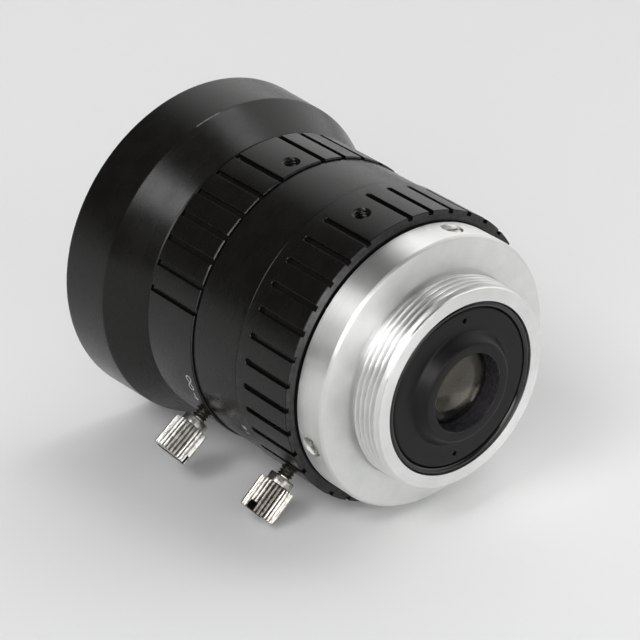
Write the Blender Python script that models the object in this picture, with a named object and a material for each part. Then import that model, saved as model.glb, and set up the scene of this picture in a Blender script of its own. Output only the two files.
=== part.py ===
# A C-mount machine vision lens, lying on its side with its front towards -Y.
# Stations are measured along the optical axis, from the rear face of the mount towards the front.
# Turns are measured about the optical axis, from the top (+Z) towards -X.

import math

import bmesh
import bpy
from mathutils import Matrix, Vector

MM = 0.001
DEGREE = math.pi / 180.0
HOLDER_SIZE = 5.0 * MM

# Clearances
FIT = 0.05 * MM
RUNNING = 0.1 * MM
RING_GAP = 0.1 * MM
HOOD_GAP = 0.2 * MM
OVERSHOOT = 0.3 * MM

# Bright mount ring
THREAD_RADIUS = 12.7 * MM
THREAD_CHAMFER = 0.45 * MM
THREAD_LENGTH = 4.6 * MM
RELIEF_WIDTH = 0.8 * MM
RELIEF_DEPTH = 0.6 * MM
MOUNT_WALL = 1.33 * MM
FLANGE_STEP = 4.25 * MM
FLANGE_RADIUS = THREAD_RADIUS + FLANGE_STEP
FLANGE_WIDTH = 4.4 * MM
FLANGE_CHAMFER = 0.3 * MM
FLANGE_RECESS = 0.1 * MM
FLANGE_WALL = 3.05 * MM
SPIGOT_RADIUS = FLANGE_RADIUS - FLANGE_WALL
SPIGOT_LENGTH = 3.8 * MM
SET_SCREW_RADIUS = 1.25 * MM
SET_SCREW_SETBACK = 2.1 * MM
SET_SCREW_RECESS = 0.15 * MM
SET_SCREW_SLOT = 0.4 * MM
SET_SCREW_TURN = 11.5 * DEGREE
SPIGOT_GROOVE_DEPTH = 0.4 * MM

# Barrel, with the sleeves under the two rings
TUBE_RADIUS = THREAD_RADIUS - RELIEF_DEPTH - MOUNT_WALL - FIT
TUBE_SETBACK = 0.06 * MM
TUBE_WALL = 0.75 * MM
REAR_BORE_RADIUS = TUBE_RADIUS - TUBE_WALL
WAIST_STEP = 1.15 * MM
WAIST_RADIUS = FLANGE_RADIUS + WAIST_STEP
WAIST_WIDTH = 8.05 * MM
WAIST_CHAMFER = 0.12 * MM
CHAMBER_STEP = 2.63 * MM
CHAMBER_RADIUS = REAR_BORE_RADIUS + CHAMBER_STEP

# Grip rings
IRIS_RING_PROUD = 0.2 * MM
IRIS_RING_RADIUS = WAIST_RADIUS + IRIS_RING_PROUD
IRIS_RING_WALL = 2.0 * MM
IRIS_SLEEVE_RADIUS = IRIS_RING_RADIUS - IRIS_RING_WALL - RUNNING
IRIS_RING_WIDTH = 9.0 * MM
IRIS_BAND_WIDTH = 1.5 * MM
FOCUS_RING_PROUD = 0.27 * MM
FOCUS_RING_RADIUS = WAIST_RADIUS + FOCUS_RING_PROUD
FOCUS_RING_WALL = 2.37 * MM
FOCUS_SLEEVE_RADIUS = FOCUS_RING_RADIUS - FOCUS_RING_WALL - RUNNING
FOCUS_SLEEVE_WALL = 2.0 * MM
FRONT_BORE_RADIUS = FOCUS_SLEEVE_RADIUS - FOCUS_SLEEVE_WALL
FOCUS_RING_WIDTH = 8.35 * MM
RING_CHAMFER = 0.25 * MM
GRIP_DIVISIONS = 36
GRIP_SLOT_WIDTH = 0.72 * MM
GRIP_SLOT_DEPTH = 0.5 * MM
RING_HOLE_RADIUS = 1.05 * MM
IRIS_HOLE_SETBACK = 4.7 * MM
IRIS_HOLE_TURN = -13.4 * DEGREE
FOCUS_HOLE_SETBACK = 2.05 * MM
FOCUS_HOLE_TURN = -8.0 * DEGREE
MARK_WINDOW = 95.0 * DEGREE
RETAINER_WIDTH = 1.0 * MM
RETAINER_WALL = 1.2 * MM
SLEEVE_STEP = 0.6 * MM

# Hood
HOOD_REAR_RADIUS = WAIST_RADIUS
HOOD_FLARE = 2.8 * MM
HOOD_RIM_RADIUS = HOOD_REAR_RADIUS + HOOD_FLARE
HOOD_BAND_TAPER = 0.2 * MM
HOOD_BREAK_RADIUS = HOOD_RIM_RADIUS - HOOD_BAND_TAPER
HOOD_CONE_LENGTH = 5.5 * MM
HOOD_BAND_LENGTH = 7.35 * MM
HOOD_CHAMFER = 0.2 * MM
HOOD_FLOOR_DEPTH = 8.7 * MM
HOOD_FLOOR_SHARE = 1 / 3
HOOD_LIP = 1.2 * MM
FILTER_THREAD_RADIUS = HOOD_RIM_RADIUS - HOOD_LIP
FILTER_THREAD_LENGTH = 2.6 * MM
FILTER_THREAD_DEPTH = 0.6 * MM
HOOD_INNER_RADIUS = FILTER_THREAD_RADIUS - FILTER_THREAD_DEPTH

# Front cell and its glass
FRONT_CELL_RADIUS = FRONT_BORE_RADIUS - RUNNING
FRONT_CELL_WALL = 1.2 * MM
FRONT_CELL_OVERHANG = 6.1 * MM
FRONT_CELL_CLEARANCE = 0.9 * MM
FRONT_SEAT_DEPTH = 4.0 * MM
FRONT_SEAT_LEDGE = 1.5 * MM
FRONT_LENS_RADIUS = FRONT_CELL_RADIUS - FRONT_CELL_WALL - RUNNING
FRONT_LENS_EDGE = 1.8 * MM
FRONT_LENS_CURVE = 2.4 * FRONT_LENS_RADIUS
FRONT_LENS_HOLLOW = 1.44 * FRONT_LENS_RADIUS
FRONT_LENS_FLAT = 3.0 * MM
FRONT_LENS_HOLLOW_RADIUS = FRONT_LENS_RADIUS - FRONT_LENS_FLAT
SECOND_LENS_STEP = 2.2 * MM
SECOND_LENS_RADIUS = FRONT_LENS_RADIUS - SECOND_LENS_STEP
SECOND_SEAT_SHARE = 0.507
SECOND_SEAT_LEDGE = 0.7 * MM
SECOND_LENS_EDGE = 1.1 * MM
SECOND_LENS_CURVES = (5.8 * SECOND_LENS_RADIUS, 2.5 * SECOND_LENS_RADIUS)
THIRD_LENS_EDGE = 4.0 * MM
THIRD_LENS_CURVES = (3.9 * SECOND_LENS_RADIUS, 2.15 * SECOND_LENS_RADIUS)
THIRD_LENS_FLAT = 2.1 * MM
THIRD_LENS_HOLLOW_RADIUS = SECOND_LENS_RADIUS - THIRD_LENS_FLAT
FRONT_SPACER_WIDTH = 2.4 * MM
GROUP_RING_WIDTH = 1.3 * MM
GROUP_RING_WALL = 1.0 * MM

# Rear cell and its glass
PLATE_SETBACK = 0.27 * MM
REAR_CELL_WALL = 3.72 * MM
REAR_LENS_RADIUS = REAR_BORE_RADIUS - REAR_CELL_WALL - RUNNING - FIT
BOSS_WALL = 0.3 * MM
BOSS_RADIUS = REAR_LENS_RADIUS + BOSS_WALL
BOSS_SPREAD = 0.8 * MM
BOSS_FOOT_RADIUS = BOSS_RADIUS + BOSS_SPREAD
BOSS_HEIGHT = 1.1 * MM
BOSS_CHAMFER = 0.3 * MM
REAR_LIP = 1.2 * MM
REAR_OPENING_RADIUS = REAR_LENS_RADIUS - REAR_LIP
SPANNER_HOLE_RADIUS = 0.35 * MM
SPANNER_HOLE_DEPTH = 0.8 * MM
SPANNER_CIRCLE_RADIUS = (BOSS_FOOT_RADIUS + REAR_BORE_RADIUS) / 2
REAR_LENS_EDGE = 1.4 * MM
REAR_LENS_CURVES = (1.64 * REAR_LENS_RADIUS, 2.3 * REAR_LENS_RADIUS)
REAR_LIP_LENGTH = 2.7 * MM
REAR_SPACER_WIDTH = 1.9 * MM
REAR_SPACER_WALL = 0.95 * MM
FLINT_EDGE = 1.6 * MM
FLINT_REAR_CURVE = 6.5 * REAR_LENS_RADIUS
CEMENT_CURVE = 2.87 * REAR_LENS_RADIUS
CROWN_EDGE = 0.85 * MM
CROWN_FRONT_CURVE = 2.16 * REAR_LENS_RADIUS
REAR_CELL_END_WALL = 0.4 * MM

# Diaphragm
BLADE_COUNT = 6
BLADE_PIVOT_INSET = 3.0 * MM
BLADE_PIVOT_RADIUS = CHAMBER_RADIUS - BLADE_PIVOT_INSET
BLADE_SPAN = 150.0 * DEGREE
BLADE_STEPS = 8
BLADE_TAPER = 0.35
BLADE_END = 8.0 * DEGREE
BLADE_OUTER_WIDTH = 1.0 * MM
FULL_APERTURE_RADIUS = REAR_LENS_RADIUS + RUNNING
BLADE_THICKNESS = 0.12 * MM
BLADE_RISE = 1.5 * MM
BLADE_CLEARANCE = 0.15 * MM
BLADE_PIN_RADIUS = 0.4 * MM
BLADE_SWING = 30.0 * DEGREE
IRIS_RANGE = 75.0 * DEGREE
BASE_PLATE_THICKNESS = 0.5 * MM
CAM_WEB = 0.7 * MM
CAM_RIM = 1.3 * MM
CAM_STEPS = 5
COVER_THICKNESS = 0.55 * MM
COVER_WALL = 2.4 * MM

# Drive and guide pins
DRIVE_PIN_RADIUS = 0.8 * MM
DRIVE_PIN_SETBACK = 1.2 * MM
DRIVE_PIN_SEAT = 0.9 * MM
IRIS_DRIVE_TURN = 95.0 * DEGREE
FOCUS_DRIVE_TURN = 85.0 * DEGREE
FOCUS_DRIVE_SETBACK = 4.6 * MM
GROOVE_DEPTH = 0.8 * MM
GUIDE_PIN_TURN = -40.0 * DEGREE
FOCUS_RANGE = 100.0 * DEGREE
FOCUS_TRAVEL = 0.6 * MM

# Lock screws
SCREW_SHANK_RADIUS = 0.95 * MM
SCREW_COLLAR_RADIUS = 1.6 * MM
SCREW_COLLAR_HEIGHT = 1.0 * MM
SCREW_COLLAR_GAP = 1.25 * MM
SCREW_HEAD_RADIUS = 2.32 * MM
SCREW_HEAD_HEIGHT = 4.2 * MM
SCREW_HEAD_CHAMFER = 0.15 * MM
KNURL_RIDGES = 16
KNURL_DEPTH = 0.22 * MM
SCREW_SLOT_WIDTH = 0.6 * MM
SCREW_SLOT_DEPTH = 0.7 * MM
FOCUS_SCREW_SLOT_TURN = -22.5 * DEGREE
IRIS_SCREW_SLOT_TURN = 78.0 * DEGREE

# Facets around each kind of piece
RING_SEGMENTS = 72
HOOD_SEGMENTS = 48
BARREL_SEGMENTS = 36
CELL_SEGMENTS = 28
GLASS_SEGMENTS = 16
GLASS_STEPS = 3
INNER_GLASS_STEPS = 2
PIN_SEGMENTS = 10
BLADE_PIN_SEGMENTS = 8

# Stations that follow from the sizes above
flange_station = THREAD_LENGTH
mount_end = flange_station + FLANGE_WIDTH
iris_ring_start = mount_end + RING_GAP
iris_ring_end = iris_ring_start + IRIS_RING_WIDTH
waist_start = iris_ring_end + RING_GAP
waist_end = waist_start + WAIST_WIDTH
focus_ring_start = waist_end + RING_GAP
focus_ring_end = focus_ring_start + FOCUS_RING_WIDTH
hood_start = focus_ring_end + HOOD_GAP
hood_break = hood_start + HOOD_CONE_LENGTH
hood_end = hood_break + HOOD_BAND_LENGTH
spigot_start = mount_end - SPIGOT_LENGTH
iris_drive_station = iris_ring_end - DRIVE_PIN_SETBACK
cam_front = iris_drive_station + DRIVE_PIN_RADIUS + 2 * RUNNING
cam_web_front = iris_drive_station - DRIVE_PIN_RADIUS - RUNNING
cam_rear = cam_web_front - CAM_WEB
blade_low = cam_rear - 2 * BLADE_CLEARANCE - BLADE_THICKNESS - BLADE_RISE
base_rear = blade_low - BLADE_THICKNESS - BASE_PLATE_THICKNESS
cover_rear = cam_front + BLADE_CLEARANCE
cover_front = cover_rear + COVER_THICKNESS
focus_drive_station = focus_ring_start + FOCUS_DRIVE_SETBACK
cell_rear = cover_front + FRONT_CELL_CLEARANCE
cell_front = hood_start + FRONT_CELL_OVERHANG
second_seat = cell_front - (cell_front - cell_rear) * SECOND_SEAT_SHARE
retainer_end = focus_ring_end - RUNNING
retainer_start = retainer_end - RETAINER_WIDTH

# The lens lies on the rim of its hood, and the origin is under the middle of its box
axis_height = HOOD_RIM_RADIUS
rear_face_y = (hood_end - BOSS_HEIGHT) / 2


def make_finish(name, colour, roughness, metallic=0.0, transmission=0.0):
    finish = bpy.data.materials.new(name)
    finish.use_nodes = True
    shader = finish.node_tree.nodes["Principled BSDF"]
    shader.inputs["Base Color"].default_value = (*colour, 1.0)
    shader.inputs["Roughness"].default_value = roughness
    shader.inputs["Metallic"].default_value = metallic
    shader.inputs["Transmission Weight"].default_value = transmission
    finish.diffuse_color = (*colour, 1.0)
    return finish


def make_holder(name, parent=None):
    # An empty on the optical axis, level with the rear face
    holder = bpy.data.objects.new(name, None)
    holder.empty_display_size = HOLDER_SIZE
    bpy.context.collection.objects.link(holder)
    if parent is None:
        holder.location = (0.0, rear_face_y, axis_height)
    holder.parent = parent
    return holder


def finish_object(name, bm, finish, parent, location=(0.0, 0.0, 0.0), rotation=(0.0, 0.0, 0.0)):
    bmesh.ops.recalc_face_normals(bm, faces=bm.faces)
    mesh = bpy.data.meshes.new(name)
    bm.to_mesh(mesh)
    bm.free()
    mesh.shade_smooth()
    mesh.set_sharp_from_angle(angle=30 * DEGREE)
    return add_object(name, mesh, finish, parent, location, rotation)


def add_object(name, mesh, finish, parent, location=(0.0, 0.0, 0.0), rotation=(0.0, 0.0, 0.0)):
    item = bpy.data.objects.new(name, mesh)
    if finish is not None and not mesh.materials:
        mesh.materials.append(finish)
    item.parent = parent
    item.location = location
    item.rotation_euler = rotation
    bpy.context.collection.objects.link(item)
    return item


def mark_cutter(item):
    item.hide_render = True
    item.display_type = "WIRE"
    return item


def combine(item, tool, operation="DIFFERENCE"):
    modifier = item.modifiers.new(tool.name, "BOOLEAN")
    modifier.operation = operation
    modifier.solver = "EXACT"
    modifier.object = tool


def radial(turn):
    return Vector((-math.sin(turn), 0.0, math.cos(turn)))


def across(turn):
    return Vector((-math.cos(turn), 0.0, -math.sin(turn)))


def turned(name, profile, segments, finish, parent, phase=0.0):
    # Spins a profile of (station, radius) points about the optical axis
    bm = bmesh.new()
    start = Matrix.Rotation(phase, 3, "Y")
    verts = [bm.verts.new(start @ Vector((0.0, -station, radius))) for station, radius in profile]
    touches_axis = profile[0][1] == 0.0
    following = verts[1:] if touches_axis else verts[1:] + verts[:1]
    edges = [bm.edges.new(pair) for pair in zip(verts, following)]
    bmesh.ops.spin(bm, geom=verts + edges, axis=(0.0, 1.0, 0.0), cent=(0.0, 0.0, 0.0),
                   angle=2 * math.pi, steps=segments, use_merge=True)
    bmesh.ops.remove_doubles(bm, verts=bm.verts, dist=0.0001 * MM)
    return finish_object(name, bm, finish, parent)


def loft(bm, sections):
    # Joins equal closed outlines into one closed body
    rings = [[bm.verts.new(point) for point in section] for section in sections]
    count = len(rings[0])
    for lower, upper in zip(rings, rings[1:]):
        for index in range(count):
            following = (index + 1) % count
            bm.faces.new((lower[index], lower[following], upper[following], upper[index]))
    bm.faces.new(list(reversed(rings[0])))
    bm.faces.new(rings[-1])


def circle(radius, segments, station=0.0):
    angles = [2 * math.pi * (index + 0.5) / segments for index in range(segments)]
    return [(station + radius * math.cos(angle), radius * math.sin(angle)) for angle in angles]


def radial_prism(bm, outline, low, high, turn):
    # A prism that stands on the axis at one turn; its outline is (station, across) points
    sections = []
    for radius in (low, high):
        centre = radial(turn) * radius
        sections.append([centre + Vector((0.0, -station, 0.0)) + across(turn) * side
                         for station, side in outline])
    loft(bm, sections)


def sector(bm, low, high, half_width, start_turn, end_turn, start_station, end_station):
    # A curved bar that follows the axis round, with its station running evenly along it
    steps = math.ceil(abs(end_turn - start_turn) * BARREL_SEGMENTS / (2 * math.pi))
    sections = []
    for step in range(steps + 1):
        share = step / steps
        turn = start_turn + (end_turn - start_turn) * share
        station = start_station + (end_station - start_station) * share
        corners = [(low, -half_width), (high, -half_width), (high, half_width), (low, half_width)]
        sections.append([radial(turn) * radius + Vector((0.0, -station - side, 0.0))
                         for radius, side in corners])
    loft(bm, sections)


def dome(vertex, curve, rim, steps, bulges_rearward):
    # Points of a spherical surface from the axis out to its rim
    points = []
    for step in range(steps + 1):
        radius = rim * step / steps
        sag = curve - math.sqrt(curve * curve - radius * radius)
        points.append((vertex + sag if bulges_rearward else vertex - sag, radius))
    return points


def sag_of(curve, rim):
    return curve - math.sqrt(curve * curve - rim * rim)


def add_mount_ring(finish, parent):
    root = THREAD_RADIUS - RELIEF_DEPTH
    profile = [
        (0.0, TUBE_RADIUS + FIT),
        (0.0, THREAD_RADIUS - THREAD_CHAMFER),
        (THREAD_CHAMFER, THREAD_RADIUS),
        (flange_station - RELIEF_WIDTH, THREAD_RADIUS),
        (flange_station - RELIEF_WIDTH, root),
        (flange_station + FLANGE_RECESS, root),
        (flange_station + FLANGE_RECESS, THREAD_RADIUS + RUNNING),
        (flange_station, THREAD_RADIUS + RUNNING),
        (flange_station, FLANGE_RADIUS - FLANGE_CHAMFER),
        (flange_station + FLANGE_CHAMFER, FLANGE_RADIUS),
        (mount_end, FLANGE_RADIUS),
        (mount_end, SPIGOT_RADIUS + FIT),
        (spigot_start - FIT, SPIGOT_RADIUS + FIT),
        (spigot_start - FIT, TUBE_RADIUS + FIT),
    ]
    ring = turned("mount_ring", profile, BARREL_SEGMENTS, finish, parent)
    station = mount_end - SET_SCREW_SETBACK
    bm = bmesh.new()
    for index in range(3):
        outline = circle(SET_SCREW_RADIUS + FIT, PIN_SEGMENTS, station)
        radial_prism(bm, outline, SPIGOT_RADIUS - RUNNING, FLANGE_RADIUS + RUNNING,
                     SET_SCREW_TURN + index * 120 * DEGREE)
    combine(ring, mark_cutter(finish_object("mount_ring_holes", bm, None, parent)))


def add_set_screws(finish, parent):
    station = mount_end - SET_SCREW_SETBACK
    foot = SPIGOT_RADIUS - SPIGOT_GROOVE_DEPTH + FIT
    top = FLANGE_RADIUS * math.cos(math.pi / BARREL_SEGMENTS) - SET_SCREW_RECESS
    for index in range(3):
        turn = SET_SCREW_TURN + index * 120 * DEGREE
        bm = bmesh.new()
        radial_prism(bm, circle(SET_SCREW_RADIUS, PIN_SEGMENTS, station), foot, top, turn)
        name = "mount_set_screw_%d" % (index + 1)
        screw = finish_object(name, bm, finish, parent)
        bm = bmesh.new()
        half = SET_SCREW_SLOT / 2
        reach = 2 * SET_SCREW_RADIUS
        outline = [(station - half, -reach), (station + half, -reach),
                   (station + half, reach), (station - half, reach)]
        radial_prism(bm, outline, top - SET_SCREW_SLOT, top + SET_SCREW_SLOT, turn)
        combine(screw, mark_cutter(finish_object(name + "_slot", bm, None, parent)))


def add_main_barrel(finish, parent):
    groove_station = mount_end - SET_SCREW_SETBACK
    groove_half = SET_SCREW_RADIUS
    groove_floor = SPIGOT_RADIUS - SPIGOT_GROOVE_DEPTH
    profile = [
        (TUBE_SETBACK, REAR_BORE_RADIUS),
        (TUBE_SETBACK, TUBE_RADIUS),
        (spigot_start, TUBE_RADIUS),
        (spigot_start, SPIGOT_RADIUS),
        (groove_station - groove_half - SPIGOT_GROOVE_DEPTH, SPIGOT_RADIUS),
        (groove_station - groove_half, groove_floor),
        (groove_station + groove_half, groove_floor),
        (mount_end + FIT, groove_floor),
        (mount_end + FIT, IRIS_SLEEVE_RADIUS),
        (waist_start, IRIS_SLEEVE_RADIUS),
        (waist_start, WAIST_RADIUS - WAIST_CHAMFER),
        (waist_start + WAIST_CHAMFER, WAIST_RADIUS),
        (waist_end - WAIST_CHAMFER, WAIST_RADIUS),
        (waist_end, WAIST_RADIUS - WAIST_CHAMFER),
        (waist_end, FOCUS_SLEEVE_RADIUS),
        (retainer_start - FIT, FOCUS_SLEEVE_RADIUS),
        (retainer_start - FIT, FOCUS_SLEEVE_RADIUS - SLEEVE_STEP),
        (retainer_end, FOCUS_SLEEVE_RADIUS - SLEEVE_STEP),
        (retainer_end, FRONT_BORE_RADIUS),
        (cover_front, FRONT_BORE_RADIUS),
        (cover_front, CHAMBER_RADIUS),
        (base_rear - FIT, CHAMBER_RADIUS),
        (base_rear - FIT, REAR_BORE_RADIUS),
    ]
    barrel = turned("main_barrel", profile, BARREL_SEGMENTS, finish, parent)
    bm = bmesh.new()
    half = DRIVE_PIN_RADIUS + RUNNING
    margin = math.asin((half + RUNNING) / CHAMBER_RADIUS)
    sector(bm, CHAMBER_RADIUS - OVERSHOOT, IRIS_SLEEVE_RADIUS + OVERSHOOT, half,
           IRIS_DRIVE_TURN - margin, IRIS_DRIVE_TURN + IRIS_RANGE + margin,
           iris_drive_station, iris_drive_station)
    margin = math.asin((half + RUNNING) / FRONT_BORE_RADIUS)
    sector(bm, FRONT_BORE_RADIUS - OVERSHOOT, FOCUS_SLEEVE_RADIUS + OVERSHOOT, half,
           FOCUS_DRIVE_TURN - margin, FOCUS_DRIVE_TURN + FOCUS_RANGE + margin,
           focus_drive_station, focus_drive_station)
    outline = circle(DRIVE_PIN_RADIUS + FIT, PIN_SEGMENTS, focus_drive_station)
    radial_prism(bm, outline, FRONT_BORE_RADIUS - OVERSHOOT, FOCUS_SLEEVE_RADIUS + OVERSHOOT,
                 GUIDE_PIN_TURN)
    combine(barrel, mark_cutter(finish_object("main_barrel_slots", bm, None, parent)))
    return barrel


def grip_ring(name, start, width, outer, inner, step_radius, finish, parent, hole_turn):
    # A plain ring whose flats line up with its grip slots
    end = start + width
    if step_radius is None:
        front = [(end, inner)]
    else:
        front = [(end, step_radius), (retainer_start - RUNNING, step_radius),
                 (retainer_start - RUNNING, inner)]
    profile = [
        (start, inner),
        (start, outer - RING_CHAMFER),
        (start + RING_CHAMFER, outer),
        (end - RING_CHAMFER / 2, outer),
        (end, outer - RING_CHAMFER / 2),
    ] + front
    phase = -hole_turn + math.pi / RING_SEGMENTS
    return turned(name, profile, RING_SEGMENTS, finish, parent, phase)


def add_ring_holes(ring, start_radius, end_radius, station, hole_turn, seat, parent):
    # Three tapped holes, and the blind hole for the drive pin
    bm = bmesh.new()
    for index in range(3):
        radial_prism(bm, circle(RING_HOLE_RADIUS, PIN_SEGMENTS, station), start_radius - OVERSHOOT,
                     end_radius + OVERSHOOT, hole_turn + index * 120 * DEGREE)
    pin_station, pin_turn = seat
    radial_prism(bm, circle(DRIVE_PIN_RADIUS + FIT, PIN_SEGMENTS, pin_station),
                 start_radius - OVERSHOOT, end_radius - DRIVE_PIN_SEAT, pin_turn)
    combine(ring, mark_cutter(finish_object(ring.name + "_holes", bm, None, parent)))


def add_grip_slots(ring, outer, outline, hole_turn, window_turn, window, parent):
    # One slot at every division that holds neither a tapped hole nor the window for the marks
    bm = bmesh.new()
    for index in range(GRIP_DIVISIONS):
        turn = hole_turn + index * 2 * math.pi / GRIP_DIVISIONS
        at_hole = index % (GRIP_DIVISIONS // 3) == 0
        from_window = abs(math.remainder(turn - window_turn, 2 * math.pi))
        if at_hole or from_window < window / 2:
            continue
        radial_prism(bm, outline, outer - GRIP_SLOT_DEPTH, outer + GRIP_SLOT_DEPTH, turn)
    combine(ring, mark_cutter(finish_object(ring.name + "_slots", bm, None, parent)))


def add_iris_ring(finish, parent):
    inner = IRIS_SLEEVE_RADIUS + RUNNING
    ring = grip_ring("iris_ring", iris_ring_start, IRIS_RING_WIDTH, IRIS_RING_RADIUS, inner,
                     None, finish, parent, IRIS_HOLE_TURN)
    add_ring_holes(ring, inner, IRIS_RING_RADIUS, iris_ring_start + IRIS_HOLE_SETBACK, IRIS_HOLE_TURN,
                   (iris_drive_station, IRIS_DRIVE_TURN), parent)
    half = GRIP_SLOT_WIDTH / 2
    centre = iris_ring_end - IRIS_BAND_WIDTH - half
    outline = [(iris_ring_start - OVERSHOOT, half), (iris_ring_start - OVERSHOOT, -half)]
    for step in range(4):
        angle = (step / 3 - 0.5) * math.pi
        outline.append((centre + half * math.cos(angle), half * math.sin(angle)))
    add_grip_slots(ring, IRIS_RING_RADIUS, outline, IRIS_HOLE_TURN, IRIS_HOLE_TURN, 0.0, parent)


def add_focus_ring(finish, parent):
    inner = FOCUS_SLEEVE_RADIUS + RUNNING
    step_radius = FOCUS_SLEEVE_RADIUS + RETAINER_WALL + RUNNING
    ring = grip_ring("focus_ring", focus_ring_start, FOCUS_RING_WIDTH, FOCUS_RING_RADIUS, inner,
                     step_radius, finish, parent, FOCUS_HOLE_TURN)
    add_ring_holes(ring, inner, FOCUS_RING_RADIUS, focus_ring_start + FOCUS_HOLE_SETBACK,
                   FOCUS_HOLE_TURN, (focus_drive_station, FOCUS_DRIVE_TURN), parent)
    half = GRIP_SLOT_WIDTH / 2
    low = focus_ring_start - OVERSHOOT
    high = focus_ring_end + OVERSHOOT
    outline = [(low, -half), (high, -half), (high, half), (low, half)]
    add_grip_slots(ring, FOCUS_RING_RADIUS, outline, FOCUS_HOLE_TURN,
                   FOCUS_HOLE_TURN - 120 * DEGREE, MARK_WINDOW, parent)


def add_focus_retaining_ring(finish, parent):
    inner = FOCUS_SLEEVE_RADIUS - SLEEVE_STEP + FIT
    outer = FOCUS_SLEEVE_RADIUS + RETAINER_WALL
    profile = [(retainer_start, inner), (retainer_start, outer), (retainer_end, outer), (retainer_end, inner)]
    turned("focus_retaining_ring", profile, BARREL_SEGMENTS, finish, parent)


def add_front_hood(finish, parent):
    floor = hood_end - HOOD_FLOOR_DEPTH
    bore = FRONT_CELL_RADIUS + FIT
    thread_end = hood_end - FILTER_THREAD_LENGTH
    profile = [
        (hood_start, bore),
        (hood_start, HOOD_REAR_RADIUS - HOOD_CHAMFER),
        (hood_start + HOOD_CHAMFER, HOOD_REAR_RADIUS),
        (hood_break, HOOD_BREAK_RADIUS),
        (hood_end - HOOD_CHAMFER, HOOD_RIM_RADIUS),
        (hood_end, HOOD_RIM_RADIUS - HOOD_CHAMFER),
        (hood_end, FILTER_THREAD_RADIUS),
        (thread_end, FILTER_THREAD_RADIUS),
        (thread_end, HOOD_INNER_RADIUS),
        (floor, bore + (HOOD_INNER_RADIUS - bore) * HOOD_FLOOR_SHARE),
        (floor, bore),
    ]
    turned("front_hood", profile, HOOD_SEGMENTS, finish, parent)


def add_front_cell(finish, parent):
    lens_bore = FRONT_LENS_RADIUS + RUNNING
    group_bore = SECOND_LENS_RADIUS + RUNNING
    profile = [
        (cell_rear, group_bore),
        (cell_rear, FRONT_CELL_RADIUS),
        (cell_front, FRONT_CELL_RADIUS),
        (cell_front, lens_bore),
        (cell_front - FRONT_SEAT_DEPTH, lens_bore),
        (cell_front - FRONT_SEAT_DEPTH, FRONT_LENS_RADIUS - FRONT_SEAT_LEDGE),
        (second_seat, SECOND_LENS_RADIUS - SECOND_SEAT_LEDGE),
        (second_seat, group_bore),
    ]
    cell = turned("front_cell", profile, BARREL_SEGMENTS, finish, parent)
    bm = bmesh.new()
    floor = FRONT_CELL_RADIUS - GROOVE_DEPTH
    half = DRIVE_PIN_RADIUS + RUNNING
    margin = math.asin((half + RUNNING) / floor)
    climb = FOCUS_TRAVEL * margin / FOCUS_RANGE
    sector(bm, floor, FRONT_CELL_RADIUS + OVERSHOOT, half,
           FOCUS_DRIVE_TURN - margin, FOCUS_DRIVE_TURN + FOCUS_RANGE + margin,
           focus_drive_station + climb, focus_drive_station - FOCUS_TRAVEL - climb)
    low = focus_drive_station - FOCUS_TRAVEL - half
    high = focus_drive_station + half
    outline = [(low, -half), (high, -half), (high, half), (low, half)]
    radial_prism(bm, outline, floor, FRONT_CELL_RADIUS + OVERSHOOT, GUIDE_PIN_TURN)
    combine(cell, mark_cutter(finish_object("front_cell_grooves", bm, None, parent)))


def add_pin(name, station, turn, low, high, finish, parent):
    bm = bmesh.new()
    radial_prism(bm, circle(DRIVE_PIN_RADIUS, PIN_SEGMENTS, station), low, high, turn)
    finish_object(name, bm, finish, parent)


def ring_of(name, start, width, outer, wall, finish, parent, segments=GLASS_SEGMENTS):
    profile = [(start, outer - wall), (start, outer), (start + width, outer), (start + width, outer - wall)]
    return turned(name, profile, segments, finish, parent)


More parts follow.
